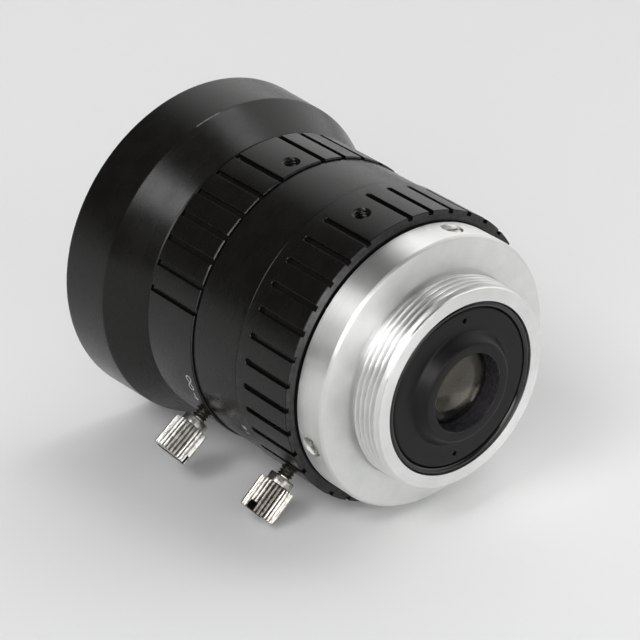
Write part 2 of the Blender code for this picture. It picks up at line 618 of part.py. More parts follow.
def add_front_glass(glass, finish, parent):
    # Front meniscus against its seat, and the ring that holds it
    seat = cell_front - FRONT_SEAT_DEPTH + RUNNING
    front_edge = seat + FRONT_LENS_EDGE
    vertex = front_edge + sag_of(FRONT_LENS_CURVE, FRONT_LENS_RADIUS)
    hollow = seat + sag_of(FRONT_LENS_HOLLOW, FRONT_LENS_HOLLOW_RADIUS)
    rear_face = dome(hollow, FRONT_LENS_HOLLOW, FRONT_LENS_HOLLOW_RADIUS, INNER_GLASS_STEPS, False)
    front_face = dome(vertex, FRONT_LENS_CURVE, FRONT_LENS_RADIUS, GLASS_STEPS + 1, False)
    turned("front_lens", rear_face + [(seat, FRONT_LENS_RADIUS)] + front_face[::-1],
           CELL_SEGMENTS, glass, parent)
    wall = GROUP_RING_WALL
    inner = FRONT_LENS_RADIUS + FIT - wall
    ring_rear = vertex - sag_of(FRONT_LENS_CURVE, inner) + RUNNING
    ring_of("front_retaining_ring", ring_rear, cell_front - ring_rear - RUNNING,
            FRONT_LENS_RADIUS + FIT, wall, finish, parent)

    # Second element, spacer, third element and their ring, put in from behind
    seat = second_seat
    rear_curve, front_curve = SECOND_LENS_CURVES
    seat_radius = SECOND_LENS_RADIUS - SECOND_SEAT_LEDGE
    vertex = seat - RUNNING + sag_of(front_curve, seat_radius)
    front_edge = vertex - sag_of(front_curve, SECOND_LENS_RADIUS)
    rear_edge = front_edge - SECOND_LENS_EDGE
    rear_vertex = rear_edge - sag_of(rear_curve, SECOND_LENS_RADIUS)
    rear_face = dome(rear_vertex, rear_curve, SECOND_LENS_RADIUS, INNER_GLASS_STEPS, True)
    front_face = dome(vertex, front_curve, SECOND_LENS_RADIUS, INNER_GLASS_STEPS, False)
    turned("second_lens", rear_face + front_face[::-1], GLASS_SEGMENTS, glass, parent)
    spacer_outer = SECOND_LENS_RADIUS + FIT
    contact = rear_vertex + sag_of(rear_curve, spacer_outer - wall)
    spacer_rear = contact - RUNNING - FRONT_SPACER_WIDTH
    ring_of("front_spacer", spacer_rear, FRONT_SPACER_WIDTH, spacer_outer, wall, finish, parent)
    rear_curve, front_curve = THIRD_LENS_CURVES
    front_flat = spacer_rear - RUNNING
    rear_flat = front_flat - THIRD_LENS_EDGE
    hollow = THIRD_LENS_HOLLOW_RADIUS
    rear_face = dome(rear_flat + sag_of(rear_curve, hollow), rear_curve, hollow, INNER_GLASS_STEPS, False)
    front_face = dome(front_flat - sag_of(front_curve, hollow), front_curve, hollow, INNER_GLASS_STEPS, True)
    edge = [(rear_flat, SECOND_LENS_RADIUS), (front_flat, SECOND_LENS_RADIUS)]
    turned("third_lens", rear_face + edge + front_face[::-1], GLASS_SEGMENTS, glass, parent)
    ring_of("front_group_ring", rear_flat - RUNNING - GROUP_RING_WIDTH, GROUP_RING_WIDTH,
            spacer_outer, wall, finish, parent)


def add_rear_group(finish, glass, parent):
    outer = REAR_BORE_RADIUS - FIT
    bore = REAR_LENS_RADIUS + RUNNING
    lip = REAR_LIP_LENGTH - BOSS_HEIGHT

    # Rear element, seated on the edge of the lip
    rear_curve, front_curve = REAR_LENS_CURVES
    vertex = lip + RUNNING - sag_of(rear_curve, REAR_OPENING_RADIUS)
    rear_edge = vertex + sag_of(rear_curve, REAR_LENS_RADIUS)
    front_edge = rear_edge + REAR_LENS_EDGE
    front_vertex = front_edge + sag_of(front_curve, REAR_LENS_RADIUS)
    rear_face = dome(vertex, rear_curve, REAR_LENS_RADIUS, GLASS_STEPS + 1, True)
    front_face = dome(front_vertex, front_curve, REAR_LENS_RADIUS, GLASS_STEPS, False)
    turned("rear_lens", rear_face + front_face[::-1], GLASS_SEGMENTS, glass, parent)

    # Spacer between the rear element and the cemented pair
    ring_outer = REAR_LENS_RADIUS + FIT
    inner = ring_outer - REAR_SPACER_WALL
    spacer_rear = front_vertex - sag_of(front_curve, inner) + RUNNING
    ring_of("rear_spacer", spacer_rear, REAR_SPACER_WIDTH, ring_outer, REAR_SPACER_WALL, finish, parent)
    spacer_front = spacer_rear + REAR_SPACER_WIDTH
    flint_vertex = spacer_front + RUNNING - sag_of(FLINT_REAR_CURVE, inner)
    flint_edge = flint_vertex + sag_of(FLINT_REAR_CURVE, REAR_LENS_RADIUS) + FLINT_EDGE
    joint_vertex = flint_edge - sag_of(CEMENT_CURVE, REAR_LENS_RADIUS)
    rear_face = dome(flint_vertex, FLINT_REAR_CURVE, REAR_LENS_RADIUS, INNER_GLASS_STEPS, True)
    front_face = dome(joint_vertex, CEMENT_CURVE, REAR_LENS_RADIUS, INNER_GLASS_STEPS, True)
    turned("rear_flint", rear_face + front_face[::-1], GLASS_SEGMENTS, glass, parent)
    crown_edge = flint_edge + FIT + CROWN_EDGE
    crown_vertex = crown_edge + sag_of(CROWN_FRONT_CURVE, REAR_LENS_RADIUS)
    rear_face = dome(joint_vertex + FIT, CEMENT_CURVE, REAR_LENS_RADIUS, INNER_GLASS_STEPS, True)
    front_face = dome(crown_vertex, CROWN_FRONT_CURVE, REAR_LENS_RADIUS, INNER_GLASS_STEPS, False)
    turned("rear_crown", rear_face + front_face[::-1], GLASS_SEGMENTS, glass, parent)
    ring_rear = crown_vertex - sag_of(CROWN_FRONT_CURVE, inner) + RUNNING
    ring_of("rear_group_ring", ring_rear, GROUP_RING_WIDTH, ring_outer, REAR_SPACER_WALL, finish, parent)
    cell_end = ring_rear + GROUP_RING_WIDTH + REAR_CELL_END_WALL

    profile = [
        (-BOSS_HEIGHT, REAR_OPENING_RADIUS),
        (-BOSS_HEIGHT, BOSS_RADIUS - BOSS_CHAMFER),
        (-BOSS_HEIGHT + BOSS_CHAMFER, BOSS_RADIUS),
        (PLATE_SETBACK, BOSS_FOOT_RADIUS),
        (PLATE_SETBACK, outer),
        (cell_end, outer),
        (cell_end, bore),
        (lip, bore),
        (lip, REAR_OPENING_RADIUS),
    ]
    cell = turned("rear_cell", profile, CELL_SEGMENTS, finish, parent)
    bm = bmesh.new()
    for turn in (0.0, math.pi):
        centre = radial(turn) * SPANNER_CIRCLE_RADIUS
        sections = []
        for station in (PLATE_SETBACK - SPANNER_HOLE_DEPTH, PLATE_SETBACK + SPANNER_HOLE_DEPTH):
            sections.append([centre + Vector((side, -station, up))
                             for up, side in circle(SPANNER_HOLE_RADIUS, PIN_SEGMENTS)])
        loft(bm, sections)
    combine(cell, mark_cutter(finish_object("rear_cell_spanner_holes", bm, None, parent)))


def blade_pivot(index):
    return radial(index * 2 * math.pi / BLADE_COUNT) * BLADE_PIVOT_RADIUS


def drive_pin_place(swing):
    # Place of blade 0's drive pin on the optical axis' plane, when the blade has swung inwards
    pivot = radial(0.0) * BLADE_PIVOT_RADIUS
    closed = Matrix.Rotation(-swing, 3, "Y")
    return pivot + closed @ (radial(BLADE_SPAN) * BLADE_PIVOT_RADIUS - pivot)


def add_iris_base_plate(finish, parent):
    outer = CHAMBER_RADIUS - FIT
    profile = [
        (base_rear, FULL_APERTURE_RADIUS),
        (base_rear, outer),
        (base_rear + BASE_PLATE_THICKNESS, outer),
        (base_rear + BASE_PLATE_THICKNESS, FULL_APERTURE_RADIUS),
    ]
    plate = turned("iris_base_plate", profile, BARREL_SEGMENTS, finish, parent)
    bm = bmesh.new()
    for index in range(BLADE_COUNT):
        sections = []
        for station in (base_rear - OVERSHOOT, base_rear + BASE_PLATE_THICKNESS + OVERSHOOT):
            sections.append([blade_pivot(index) + Vector((side, -station, up))
                             for up, side in circle(BLADE_PIN_RADIUS + RUNNING, BLADE_PIN_SEGMENTS)])
        loft(bm, sections)
    combine(plate, mark_cutter(finish_object("iris_base_plate_holes", bm, None, parent)))


def add_iris_cam_ring(finish, parent):
    outer = CHAMBER_RADIUS - RUNNING
    profile = [
        (cam_rear, FULL_APERTURE_RADIUS + RUNNING),
        (cam_rear, outer),
        (cam_front, outer),
        (cam_front, outer - CAM_RIM),
        (cam_web_front, outer - CAM_RIM),
        (cam_web_front, FULL_APERTURE_RADIUS + RUNNING),
    ]
    ring = turned("iris_cam_ring", profile, BARREL_SEGMENTS, finish, parent)

    # Each cam slot is the path of a drive pin as the turning ring sees it
    path = []
    for step in range(-1, CAM_STEPS + 2):
        share = step / CAM_STEPS
        seen = Matrix.Rotation(IRIS_RANGE * share, 3, "Y") @ drive_pin_place(BLADE_SWING * share)
        path.append(seen)
    half = BLADE_PIN_RADIUS + RUNNING
    left, right = [], []
    for before, point, after in zip(path, path[1:], path[2:]):
        along = (after - before).normalized()
        sideways = Vector((along.z, 0.0, -along.x)) * half
        left.append(point + sideways)
        right.append(point - sideways)
    ends = []
    for point, toward in ((path[-2], path[-1] - path[-2]), (path[1], path[0] - path[1])):
        along = toward.normalized()
        sideways = Vector((along.z, 0.0, -along.x))
        arc = []
        for step in range(1, 4):
            angle = math.pi * step / 4
            arc.append(point + (sideways * math.cos(angle) + along * math.sin(angle)) * half)
        ends.append(arc)
    outline = left + ends[0] + right[::-1] + ends[1]
    bm = bmesh.new()
    for index in range(BLADE_COUNT):
        place = Matrix.Rotation(-index * 2 * math.pi / BLADE_COUNT, 3, "Y")
        sections = []
        for station in (cam_rear - OVERSHOOT, cam_web_front + OVERSHOOT):
            sections.append([place @ point + Vector((0.0, -station, 0.0)) for point in outline])
        loft(bm, sections)
    radial_prism(bm, circle(DRIVE_PIN_RADIUS + FIT, PIN_SEGMENTS, iris_drive_station),
                 outer - CAM_RIM - OVERSHOOT, outer + OVERSHOOT, IRIS_DRIVE_TURN)
    combine(ring, mark_cutter(finish_object("iris_cam_ring_slots", bm, None, parent)))


def blade_mesh(finish):
    # A thin strip that climbs from the base plate to the cam ring, about its own pivot
    pivot = radial(0.0) * BLADE_PIVOT_RADIUS
    sections = []
    for step in range(BLADE_STEPS + 1):
        turn = -BLADE_END + (BLADE_SPAN + 2 * BLADE_END) * step / BLADE_STEPS
        share = min(max(turn / BLADE_SPAN, 0.0), 1.0)
        taper = BLADE_TAPER if step in (0, BLADE_STEPS) else 0.0
        station = blade_low + BLADE_RISE * share
        middle = BLADE_PIVOT_RADIUS
        inner = FULL_APERTURE_RADIUS + (middle - FULL_APERTURE_RADIUS) * taper
        outer = middle + BLADE_OUTER_WIDTH * (1 - taper)
        corners = [(inner, 0.0), (outer, 0.0), (outer, BLADE_THICKNESS), (inner, BLADE_THICKNESS)]
        sections.append([radial(turn) * radius - pivot + Vector((0.0, -station - rise, 0.0))
                         for radius, rise in corners])
    bm = bmesh.new()
    loft(bm, sections)
    bmesh.ops.recalc_face_normals(bm, faces=bm.faces)
    mesh = bpy.data.meshes.new("iris_blade")
    bm.to_mesh(mesh)
    bm.free()
    mesh.materials.append(finish)
    return mesh


def blade_pin_mesh():
    # The pivot pin reaches down into the base plate, the drive pin up into the cam ring
    pivot = radial(0.0) * BLADE_PIVOT_RADIUS
    drive = radial(BLADE_SPAN) * BLADE_PIVOT_RADIUS - pivot
    middle = BLADE_THICKNESS / 2
    bm = bmesh.new()
    low = base_rear + RUNNING / 2
    high = cam_web_front - RUNNING / 2
    for centre, stations in ((Vector(), (low, blade_low + middle)),
                             (drive, (blade_low + BLADE_RISE + middle, high))):
        sections = []
        for station in stations:
            sections.append([centre + Vector((side, -station, up))
                             for up, side in circle(BLADE_PIN_RADIUS, BLADE_PIN_SEGMENTS)])
        loft(bm, sections)
    bmesh.ops.recalc_face_normals(bm, faces=bm.faces)
    mesh = bpy.data.meshes.new("iris_blade_pins")
    bm.to_mesh(mesh)
    bm.free()
    return mesh


def add_iris_blades(finish, parent):
    strip = blade_mesh(finish)
    pins = blade_pin_mesh()
    for index in range(BLADE_COUNT):
        place = blade_pivot(index)
        rotation = (0.0, -index * 2 * math.pi / BLADE_COUNT, 0.0)
        name = "iris_blade_%d" % (index + 1)
        blade = add_object(name, strip, finish, parent, place, rotation)
        combine(blade, mark_cutter(add_object(name + "_pins", pins, None, parent, place, rotation)), "UNION")


def add_lock_screw(name, sleeve_radius, ring_radius, station, turn, slot_turn, finish, parent):
    # A turned and knurled thumb screw; its own axis is its local Z
    foot = sleeve_radius + RUNNING
    collar = ring_radius + SCREW_COLLAR_GAP
    head = collar + SCREW_COLLAR_HEIGHT
    top = head + SCREW_HEAD_HEIGHT
    root = SCREW_HEAD_RADIUS - KNURL_DEPTH
    levels = [
        (foot, SCREW_SHANK_RADIUS, SCREW_SHANK_RADIUS),
        (collar, SCREW_SHANK_RADIUS, SCREW_SHANK_RADIUS),
        (collar, SCREW_COLLAR_RADIUS, SCREW_COLLAR_RADIUS),
        (head, SCREW_COLLAR_RADIUS, SCREW_COLLAR_RADIUS),
        (head + SCREW_HEAD_CHAMFER, SCREW_HEAD_RADIUS, root),
        (top - SCREW_HEAD_CHAMFER, SCREW_HEAD_RADIUS, root),
        (top, root, root),
    ]
    sections = []
    for height, ridge, valley in levels:
        section = []
        for index in range(2 * KNURL_RIDGES):
            angle = math.pi * index / KNURL_RIDGES
            radius = ridge if index % 2 == 0 else valley
            section.append(Vector((radius * math.cos(angle), radius * math.sin(angle), height)))
        sections.append(section)
    place = (0.0, -station, 0.0)
    rotation = (0.0, -turn, 0.0)
    bm = bmesh.new()
    loft(bm, sections)
    screw = finish_object(name, bm, finish, parent, place, rotation)
    half = SCREW_SLOT_WIDTH / 2
    reach = 2 * SCREW_HEAD_RADIUS
    bm = bmesh.new()
    outline = [(-half, -reach), (half, -reach), (half, reach), (-half, reach)]
    swing = Matrix.Rotation(slot_turn, 4, "Z")
    loft(bm, [[swing @ Vector((x, y, height)) for x, y in outline]
              for height in (top - SCREW_SLOT_DEPTH, top + SCREW_SLOT_DEPTH)])
    combine(screw, mark_cutter(finish_object(name + "_slot", bm, None, parent, place, rotation)))


def build_lens():
    for item in list(bpy.data.objects):
        bpy.data.objects.remove(item, do_unlink=True)
    black = make_finish("black_anodised", (0.018, 0.018, 0.019), 0.42, 0.6)
    matt = make_finish("matt_black", (0.012, 0.012, 0.012), 0.6, 0.3)
    silver = make_finish("bright_aluminium", (0.78, 0.78, 0.78), 0.28, 1.0)
    nickel = make_finish("nickel_plate", (0.55, 0.52, 0.48), 0.22, 1.0)
    steel = make_finish("steel_pin", (0.5, 0.5, 0.5), 0.35, 1.0)
    glass = make_finish("coated_glass", (0.9, 0.92, 0.95), 0.03, 0.0, 1.0)

    fixed = make_holder("optical_axis")
    iris_turn = make_holder("iris_turn", fixed)
    focus_turn = make_holder("focus_turn", fixed)
    focus_travel = make_holder("focus_travel", fixed)

    add_mount_ring(silver, fixed)
    add_set_screws(nickel, fixed)
    add_main_barrel(black, fixed)
    add_rear_group(matt, glass, fixed)
    add_focus_retaining_ring(matt, fixed)
    add_pin("focus_guide_pin", focus_drive_station, GUIDE_PIN_TURN,
            FRONT_CELL_RADIUS - GROOVE_DEPTH + RUNNING, FOCUS_SLEEVE_RADIUS - RUNNING, steel, fixed)
    add_iris_base_plate(matt, fixed)
    ring_of("iris_cover_ring", cover_rear, COVER_THICKNESS, CHAMBER_RADIUS - FIT, COVER_WALL, matt, fixed)
    add_iris_blades(matt, fixed)

    add_iris_ring(black, iris_turn)
    add_iris_cam_ring(matt, iris_turn)
    add_pin("iris_drive_pin", iris_drive_station, IRIS_DRIVE_TURN,
            CHAMBER_RADIUS - RUNNING - CAM_RIM + FIT, IRIS_RING_RADIUS - DRIVE_PIN_SEAT - FIT,
            steel, iris_turn)
    add_lock_screw("iris_lock_screw", IRIS_SLEEVE_RADIUS, IRIS_RING_RADIUS,
                   iris_ring_start + IRIS_HOLE_SETBACK, IRIS_HOLE_TURN - 120 * DEGREE,
                   IRIS_SCREW_SLOT_TURN, nickel, iris_turn)

    add_focus_ring(black, focus_turn)
    add_pin("focus_drive_pin", focus_drive_station, FOCUS_DRIVE_TURN,
            FRONT_CELL_RADIUS - GROOVE_DEPTH + RUNNING, FOCUS_RING_RADIUS - DRIVE_PIN_SEAT - FIT,
            steel, focus_turn)
    add_lock_screw("focus_lock_screw", FOCUS_SLEEVE_RADIUS, FOCUS_RING_RADIUS,
                   focus_ring_start + FOCUS_HOLE_SETBACK, FOCUS_HOLE_TURN - 120 * DEGREE,
                   FOCUS_SCREW_SLOT_TURN, nickel, focus_turn)

    add_front_hood(black, focus_travel)
    add_front_cell(matt, focus_travel)
    add_front_glass(glass, matt, focus_travel)


build_lens()
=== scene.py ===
import math

import bmesh
import bpy
from mathutils import Matrix, Vector


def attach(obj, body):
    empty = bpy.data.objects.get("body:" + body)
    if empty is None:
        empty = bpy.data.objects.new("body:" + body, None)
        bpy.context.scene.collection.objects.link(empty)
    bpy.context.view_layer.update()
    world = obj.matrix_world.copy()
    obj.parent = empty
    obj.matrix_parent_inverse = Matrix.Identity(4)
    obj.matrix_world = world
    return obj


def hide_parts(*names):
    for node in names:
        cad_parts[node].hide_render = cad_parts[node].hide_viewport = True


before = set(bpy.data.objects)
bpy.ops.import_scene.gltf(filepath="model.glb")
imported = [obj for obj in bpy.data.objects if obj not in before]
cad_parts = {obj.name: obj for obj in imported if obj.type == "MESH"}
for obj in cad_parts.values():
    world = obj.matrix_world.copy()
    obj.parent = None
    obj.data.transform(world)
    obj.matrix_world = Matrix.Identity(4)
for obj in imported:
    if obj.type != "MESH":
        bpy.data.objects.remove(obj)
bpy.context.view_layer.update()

# Lengths are in millimetres and angles in degrees until a point is placed.
# Stations run from the rear face of the mount towards the hood, turns run round the optical axis from the top to -X.
optics = {"axisHeight": 20.9, "rearFaceY": 23.325}
overshoot = 0.4  # how far a cutter runs past the wall that it cuts


def place(turn, radius, station):
    angle = math.radians(turn)
    return Vector((-math.sin(angle) * radius,
                   optics["rearFaceY"] - station,
                   optics["axisHeight"] + math.cos(angle) * radius)) / 1000


def stationOf(point):
    return optics["rearFaceY"] - point.y * 1000


def radiusOf(point):
    return math.hypot(point.x * 1000, point.z * 1000 - optics["axisHeight"])


def turnOf(point):
    return math.degrees(math.atan2(-point.x * 1000, point.z * 1000 - optics["axisHeight"]))


def turnGap(a, b):
    return abs((a - b + 180) % 360 - 180)


def roundOff(corners, steps=3):
    # corners are (station, radius, rounding); each rounded one becomes a short curve
    points = []
    for i, (s, r, rounding) in enumerate(corners):
        here = Vector((s, r))
        if rounding <= 0:
            points.append((s, r))
            continue
        before = Vector(corners[i - 1][:2]) - here
        after = Vector(corners[(i + 1) % len(corners)][:2]) - here
        a = here + before.normalized() * min(rounding, before.length * 0.45)
        b = here + after.normalized() * min(rounding, after.length * 0.45)
        for k in range(steps + 1):
            t = k / steps
            p = a * (1 - t) ** 2 + here * (2 * t * (1 - t)) + b * t ** 2
            points.append((p.x, p.y))
    return points


def splitLong(points, longest):
    # puts extra points on the long straights, so that shading and the marks of wear and painted highlight have vertices
    # to sit on
    out = []
    for i, p in enumerate(points):
        q = points[(i + 1) % len(points)]
        out.append(p)
        count = int(math.dist(p, q) / longest)
        out += [(p[0] + (q[0] - p[0]) * k / (count + 1), p[1] + (q[1] - p[1]) * k / (count + 1))
                for k in range(1, count + 1)]
    return out


def threadCut(share):
    # 0 on the crest of a 60 degree thread, 1 in its root
    return min(max((0.86 - abs(share % 1 - 0.5) * 2) / 0.64, 0), 1)


def bridge(bm, rows, wrap):
    made = [[bm.verts.new(p) for p in row] for row in rows]
    pairs = list(zip(made, made[1:])) + ([(made[-1], made[0])] if wrap else [])
    for low, high in pairs:
        count = max(len(low), len(high))
        for k in range(count):
            n = (k + 1) % count
            loop = [low[k % len(low)], low[n % len(low)], high[n % len(high)], high[k % len(high)]]
            loop = list(dict.fromkeys(loop))
            if len(loop) > 2:
                bm.faces.new(loop)


def meshFrom(name, bm):
    bmesh.ops.remove_doubles(bm, verts=bm.verts, dist=3e-7)
    bmesh.ops.recalc_face_normals(bm, faces=bm.faces)
    mesh = bpy.data.meshes.new(name)
    bm.to_mesh(mesh)
    bm.free()
    return mesh


def gridMesh(name, rows, wrap=True):
    bm = bmesh.new()
    bridge(bm, rows, wrap)
    return meshFrom(name, bm)


def spun(name, outline, segments, threads=(), wrap=True):
    # spins an outline of (station, radius) points; a thread cuts its helix where the outline passes its stations
    rows = []
    for s, r in outline:
        if r == 0:
            rows.append([place(0, 0, s)])
            continue
        row = []
        for k in range(segments):
            turn = 360 * k / segments
            radius = r
            for thread in threads:
                if thread["from"] <= s <= thread["to"] and abs(r - thread["crest"]) < thread["reach"]:
                    cut = thread["depth"] * threadCut(s / thread["pitch"] - turn / 360)
                    if thread["inside"]:
                        radius = max(radius, thread["crest"] + cut)
                    else:
                        radius = min(radius, thread["crest"] - cut)
            row.append(place(turn, radius, s))
        rows.append(row)
    return gridMesh(name, rows, wrap)


def threadStations(start, end, pitch, radius, perTurn=12):
    count = round((end - start) / pitch * perTurn)
    return [(start + (end - start) * k / count, radius) for k in range(1, count)]


def turnedMesh(name, corners, longest, segments):
    return spun(name, splitLong(roundOff(corners), longest), segments)


def studFrame(turn):
    # a screw's own directions: sideways, along the lens, and outwards
    angle = math.radians(turn)
    return (Vector((-math.cos(angle), 0, -math.sin(angle))),
            Vector((0, -1, 0)),
            Vector((-math.sin(angle), 0, math.cos(angle))))


def studRows(turn, station, levels, segments, shape=None):
    # levels are (height from the axis, radius); shape bends the radius with the angle
    side, along, out = studFrame(turn)
    centre = place(turn, 0, station)
    rows = []
    for level, (height, radius) in enumerate(levels):
        if radius == 0:
            rows.append([centre + out * height / 1000])
            continue
        row = []
        for k in range(segments):
            angle = 2 * math.pi * k / segments
            r = shape(level, height, radius, math.degrees(angle)) if shape else radius
            row.append(centre + (side * (math.cos(angle) * r) + along * (math.sin(angle) * r) + out * height) / 1000)
        rows.append(row)
    return rows


def studBlock(turn, station, halfSide, halfAlong, low, high, swing=0.0):
    side, along, out = studFrame(turn)
    swung = math.radians(-swing)
    side, along = (side * math.cos(swung) - along * math.sin(swung),
                   side * math.sin(swung) + along * math.cos(swung))
    centre = place(turn, 0, station)
    return [[centre + (side * a * halfSide + along * b * halfAlong + out * height) / 1000
             for a, b in ((-1, -1), (1, -1), (1, 1), (-1, 1))] for height in (low, high)]


def closedBlock(bm, rows):
    # joins a row of equal outlines and closes both ends
    made = [[bm.verts.new(p) for p in row] for row in rows]
    count = len(made[0])
    for low, high in zip(made, made[1:]):
        for k in range(count):
            n = (k + 1) % count
            bm.faces.new((low[k], low[n], high[n], high[k]))
    bm.faces.new(made[0][::-1])
    bm.faces.new(made[-1])


def radialSlot(bm, turn, rear, front, half, low, high):
    # a straight slot along the lens, from radius low to radius high
    side, along, out = studFrame(turn)
    closedBlock(bm, [[place(turn, 0, s) + (side * across + out * height) / 1000
                      for s, across in ((rear, -half), (front, -half), (front, half), (rear, half))]
                     for height in (low, high)])


def curvedSlot(bm, slot, steps=60):
    # a slot that runs round the lens, and along it where its two stations differ
    low, high = slot["radii"]
    half = slot["half"]
    (startTurn, endTurn), (startStation, endStation) = slot["turns"], slot["stations"]
    rows = []
    for k in range(steps + 1):
        turn = startTurn + (endTurn - startTurn) * k / steps
        s = startStation + (endStation - startStation) * k / steps
        rows.append([place(turn, r, s + d) for r, d in ((low, -half), (high, -half), (high, half), (low, half))])
    closedBlock(bm, rows)


def radialRound(bm, turn, station, radius, low, high, segments=40, flare=0.0, flareFrom=0.0):
    levels = [(low, 0), (low, radius)]
    if flare:
        levels += [(flareFrom, radius), (flareFrom + flare, radius + flare), (high, radius + flare)]
    else:
        levels += [(high, radius)]
    levels += [(high, 0)]
    bridge(bm, studRows(turn, station, levels, segments), False)


def cutAway(mesh, bm):
    # takes everything in bm out of the mesh
    tool = bpy.data.objects.new("cutter", meshFrom("cutter", bm))
    body = bpy.data.objects.new("blank", mesh)
    for item in (tool, body):
        bpy.context.scene.collection.objects.link(item)
    change = body.modifiers.new("cut", "BOOLEAN")
    change.operation = "DIFFERENCE"
    change.solver = "EXACT"
    change.object = tool
    bpy.context.view_layer.update()
    made = bpy.data.meshes.new_from_object(body.evaluated_get(bpy.context.evaluated_depsgraph_get()))
    made.name = mesh.name
    for item in (tool, body):
        old = item.data
        bpy.data.objects.remove(item)
        bpy.data.meshes.remove(old)
    return made


def addPiece(name, mesh, coats, body, nodes=(), slot=None, pick=None, sharp=32):
    # coats names the finishes; pick says which one a face takes from its place
    piece = bpy.data.objects.new(name, mesh)
    bpy.context.scene.collection.objects.link(piece)
    mesh.materials.clear()
    for coat in coats:
        mesh.materials.append(finishes[coat])
    if pick:
        for face in mesh.polygons:
            face.material_index = pick(stationOf(face.center), radiusOf(face.center), turnOf(face.center))
    mesh.shade_smooth()
    mesh.set_sharp_from_angle(angle=math.radians(sharp))
    even = piece.modifiers.new("even normals", "WEIGHTED_NORMAL")
    even.keep_sharp = True
    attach(piece, body)
    if nodes:
        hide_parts(*nodes)
    return piece


def markWearAndHighlight(piece, rule):
    # how much of the lighter colour each vertex takes, for the material to read: partly wear, partly painted highlight
    # and painted shade
    attribute = piece.data.attributes.new("wearAndHighlightLevel", "FLOAT", "POINT")
    values = [rule(stationOf(v.co), radiusOf(v.co), turnOf(v.co)) for v in piece.data.vertices]
    attribute.data.foreach_set("value", values)


def edgeWearAndHighlight(wearAndHighlight):
    # a lighter colour on one edge only, in bands of (from turn, to turn, amount): partly wear, partly painted highlight
    # where the lamps catch the edge
    low, high = wearAndHighlight["stations"]

    def rule(s, r, turn):
        if not low < s < high or r < wearAndHighlight["radius"]:
            return 0
        return sum(amount for start, end, amount in wearAndHighlight["bands"] if start < turn < end)
    return rule


# Finishes

blendRange = (0.3, 0.7)
wearAndHighlightRange = (0.95, 1.3)
reliefDepth = 0.01


def setInputs(tree, node, inputs):
    # an input is a plain value or the output that feeds it
    for socket, value in inputs.items():
        if isinstance(value, bpy.types.NodeSocket):
            tree.links.new(value, node.inputs[socket])
        else:
            node.inputs[socket].default_value = value


def addNode(tree, kind, inputs, **settings):
    node = tree.nodes.new("ShaderNode" + kind)
    for key, value in settings.items():
        setattr(node, key, value)
    setInputs(tree, node, inputs)
    return node


def noise(tree, vector, size, detail, **settings):
    # size is in millimetres
    inputs = {"Vector": vector, "Scale": 1000 / size, "Detail": detail}
    return addNode(tree, "TexNoise", inputs, **settings).outputs["Fac"]


def spread(tree, value, fromRange, toRange, **settings):
    inputs = {"Value": value, "From Min": fromRange[0], "From Max": fromRange[1],
              "To Min": toRange[0], "To Max": toRange[1]}
    return addNode(tree, "MapRange", inputs, **settings).outputs["Result"]


def toneRamp(tree, factor, dark, light, positions):
    node = addNode(tree, "ValToRGB", {"Fac": factor})
    for index, colour in enumerate((dark, light)):
        node.color_ramp.elements[index].position = positions[index]
        node.color_ramp.elements[index].color = (*colour, 1)
    return node.outputs["Color"]


def newMaterial(name):
    made = bpy.data.materials.new(name)
    made.use_nodes = True
    return made, made.node_tree, made.node_tree.nodes["Principled BSDF"]


def metalFinish(name, look):
    # turned or blasted metal: mottled colour, uneven gloss, turning lines round the optical axis and fine grain
    made, tree, shader = newMaterial(name)
    where = addNode(tree, "TexCoord", {}).outputs["Object"]
    axis = (0, 0, optics["axisHeight"] / 1000)
    centred = addNode(tree, "VectorMath", {0: where, 1: axis}, operation="SUBTRACT").outputs[0]
    split = addNode(tree, "SeparateXYZ", {0: centred}).outputs
    flat = addNode(tree, "CombineXYZ", {"X": split["X"], "Y": split["Z"]}).outputs[0]
    radius = addNode(tree, "VectorMath", {0: flat}, operation="LENGTH").outputs["Value"]
    across = addNode(tree, "CombineXYZ", {"X": radius, "Y": split["Y"]}).outputs[0]

    linePitch, grainSize, mottleSize = look["sizes"]
    lines = noise(tree, across, linePitch, 3, noise_dimensions="2D")
    grain = noise(tree, where, grainSize, 2)
    mottle = noise(tree, where, mottleSize, 4)
    soft = addNode(tree, "Math", {0: mottle, 1: 1 - look["lineTone"]}, operation="MULTIPLY").outputs[0]
    blend = addNode(tree, "Math", {0: lines, 1: look["lineTone"], 2: soft}, operation="MULTIPLY_ADD").outputs[0]
    colour = toneRamp(tree, blend, look["dark"], look["light"], blendRange)
    gloss = spread(tree, blend, blendRange, look["roughness"])

    # the lighter colour laid on by the vertex attribute: partly wear, partly painted highlight
    if "wearAndHighlight" in look:
        wearAndHighlight = addNode(tree, "Attribute", {}, attribute_name="wearAndHighlightLevel").outputs["Fac"]
        patches = noise(tree, where, look["patchSize"], 4)
        edge = addNode(tree, "Math", {0: wearAndHighlight, 1: patches}, operation="ADD").outputs[0]
        amount = spread(tree, edge, wearAndHighlightRange, (0, 1))
        colour = addNode(tree, "Mix", {0: amount, 6: colour, 7: (*look["wearAndHighlight"], 1)}, data_type="RGBA").outputs[2]

    lineRelief, grainRelief = look["relief"]
    fine = addNode(tree, "Math", {0: grain, 1: grainRelief}, operation="MULTIPLY").outputs[0]
    relief = addNode(tree, "Math", {0: lines, 1: lineRelief, 2: fine}, operation="MULTIPLY_ADD").outputs[0]
    bump = addNode(tree, "Bump", {"Distance": reliefDepth / 1000, "Height": relief}).outputs["Normal"]
    setInputs(tree, shader, {"Base Color": colour, "Roughness": gloss, "Normal": bump,
                             "Metallic": look.get("metallic", 1.0), "Specular IOR Level": look.get("specular", 0.5)})
    if "anisotropic" in look:
        around = addNode(tree, "Tangent", {}, direction_type="RADIAL", axis="Y").outputs[0]
        setInputs(tree, shader, {"Tangent": around, "Anisotropic": look["anisotropic"], "Anisotropic Rotation": 0.25})
    return made


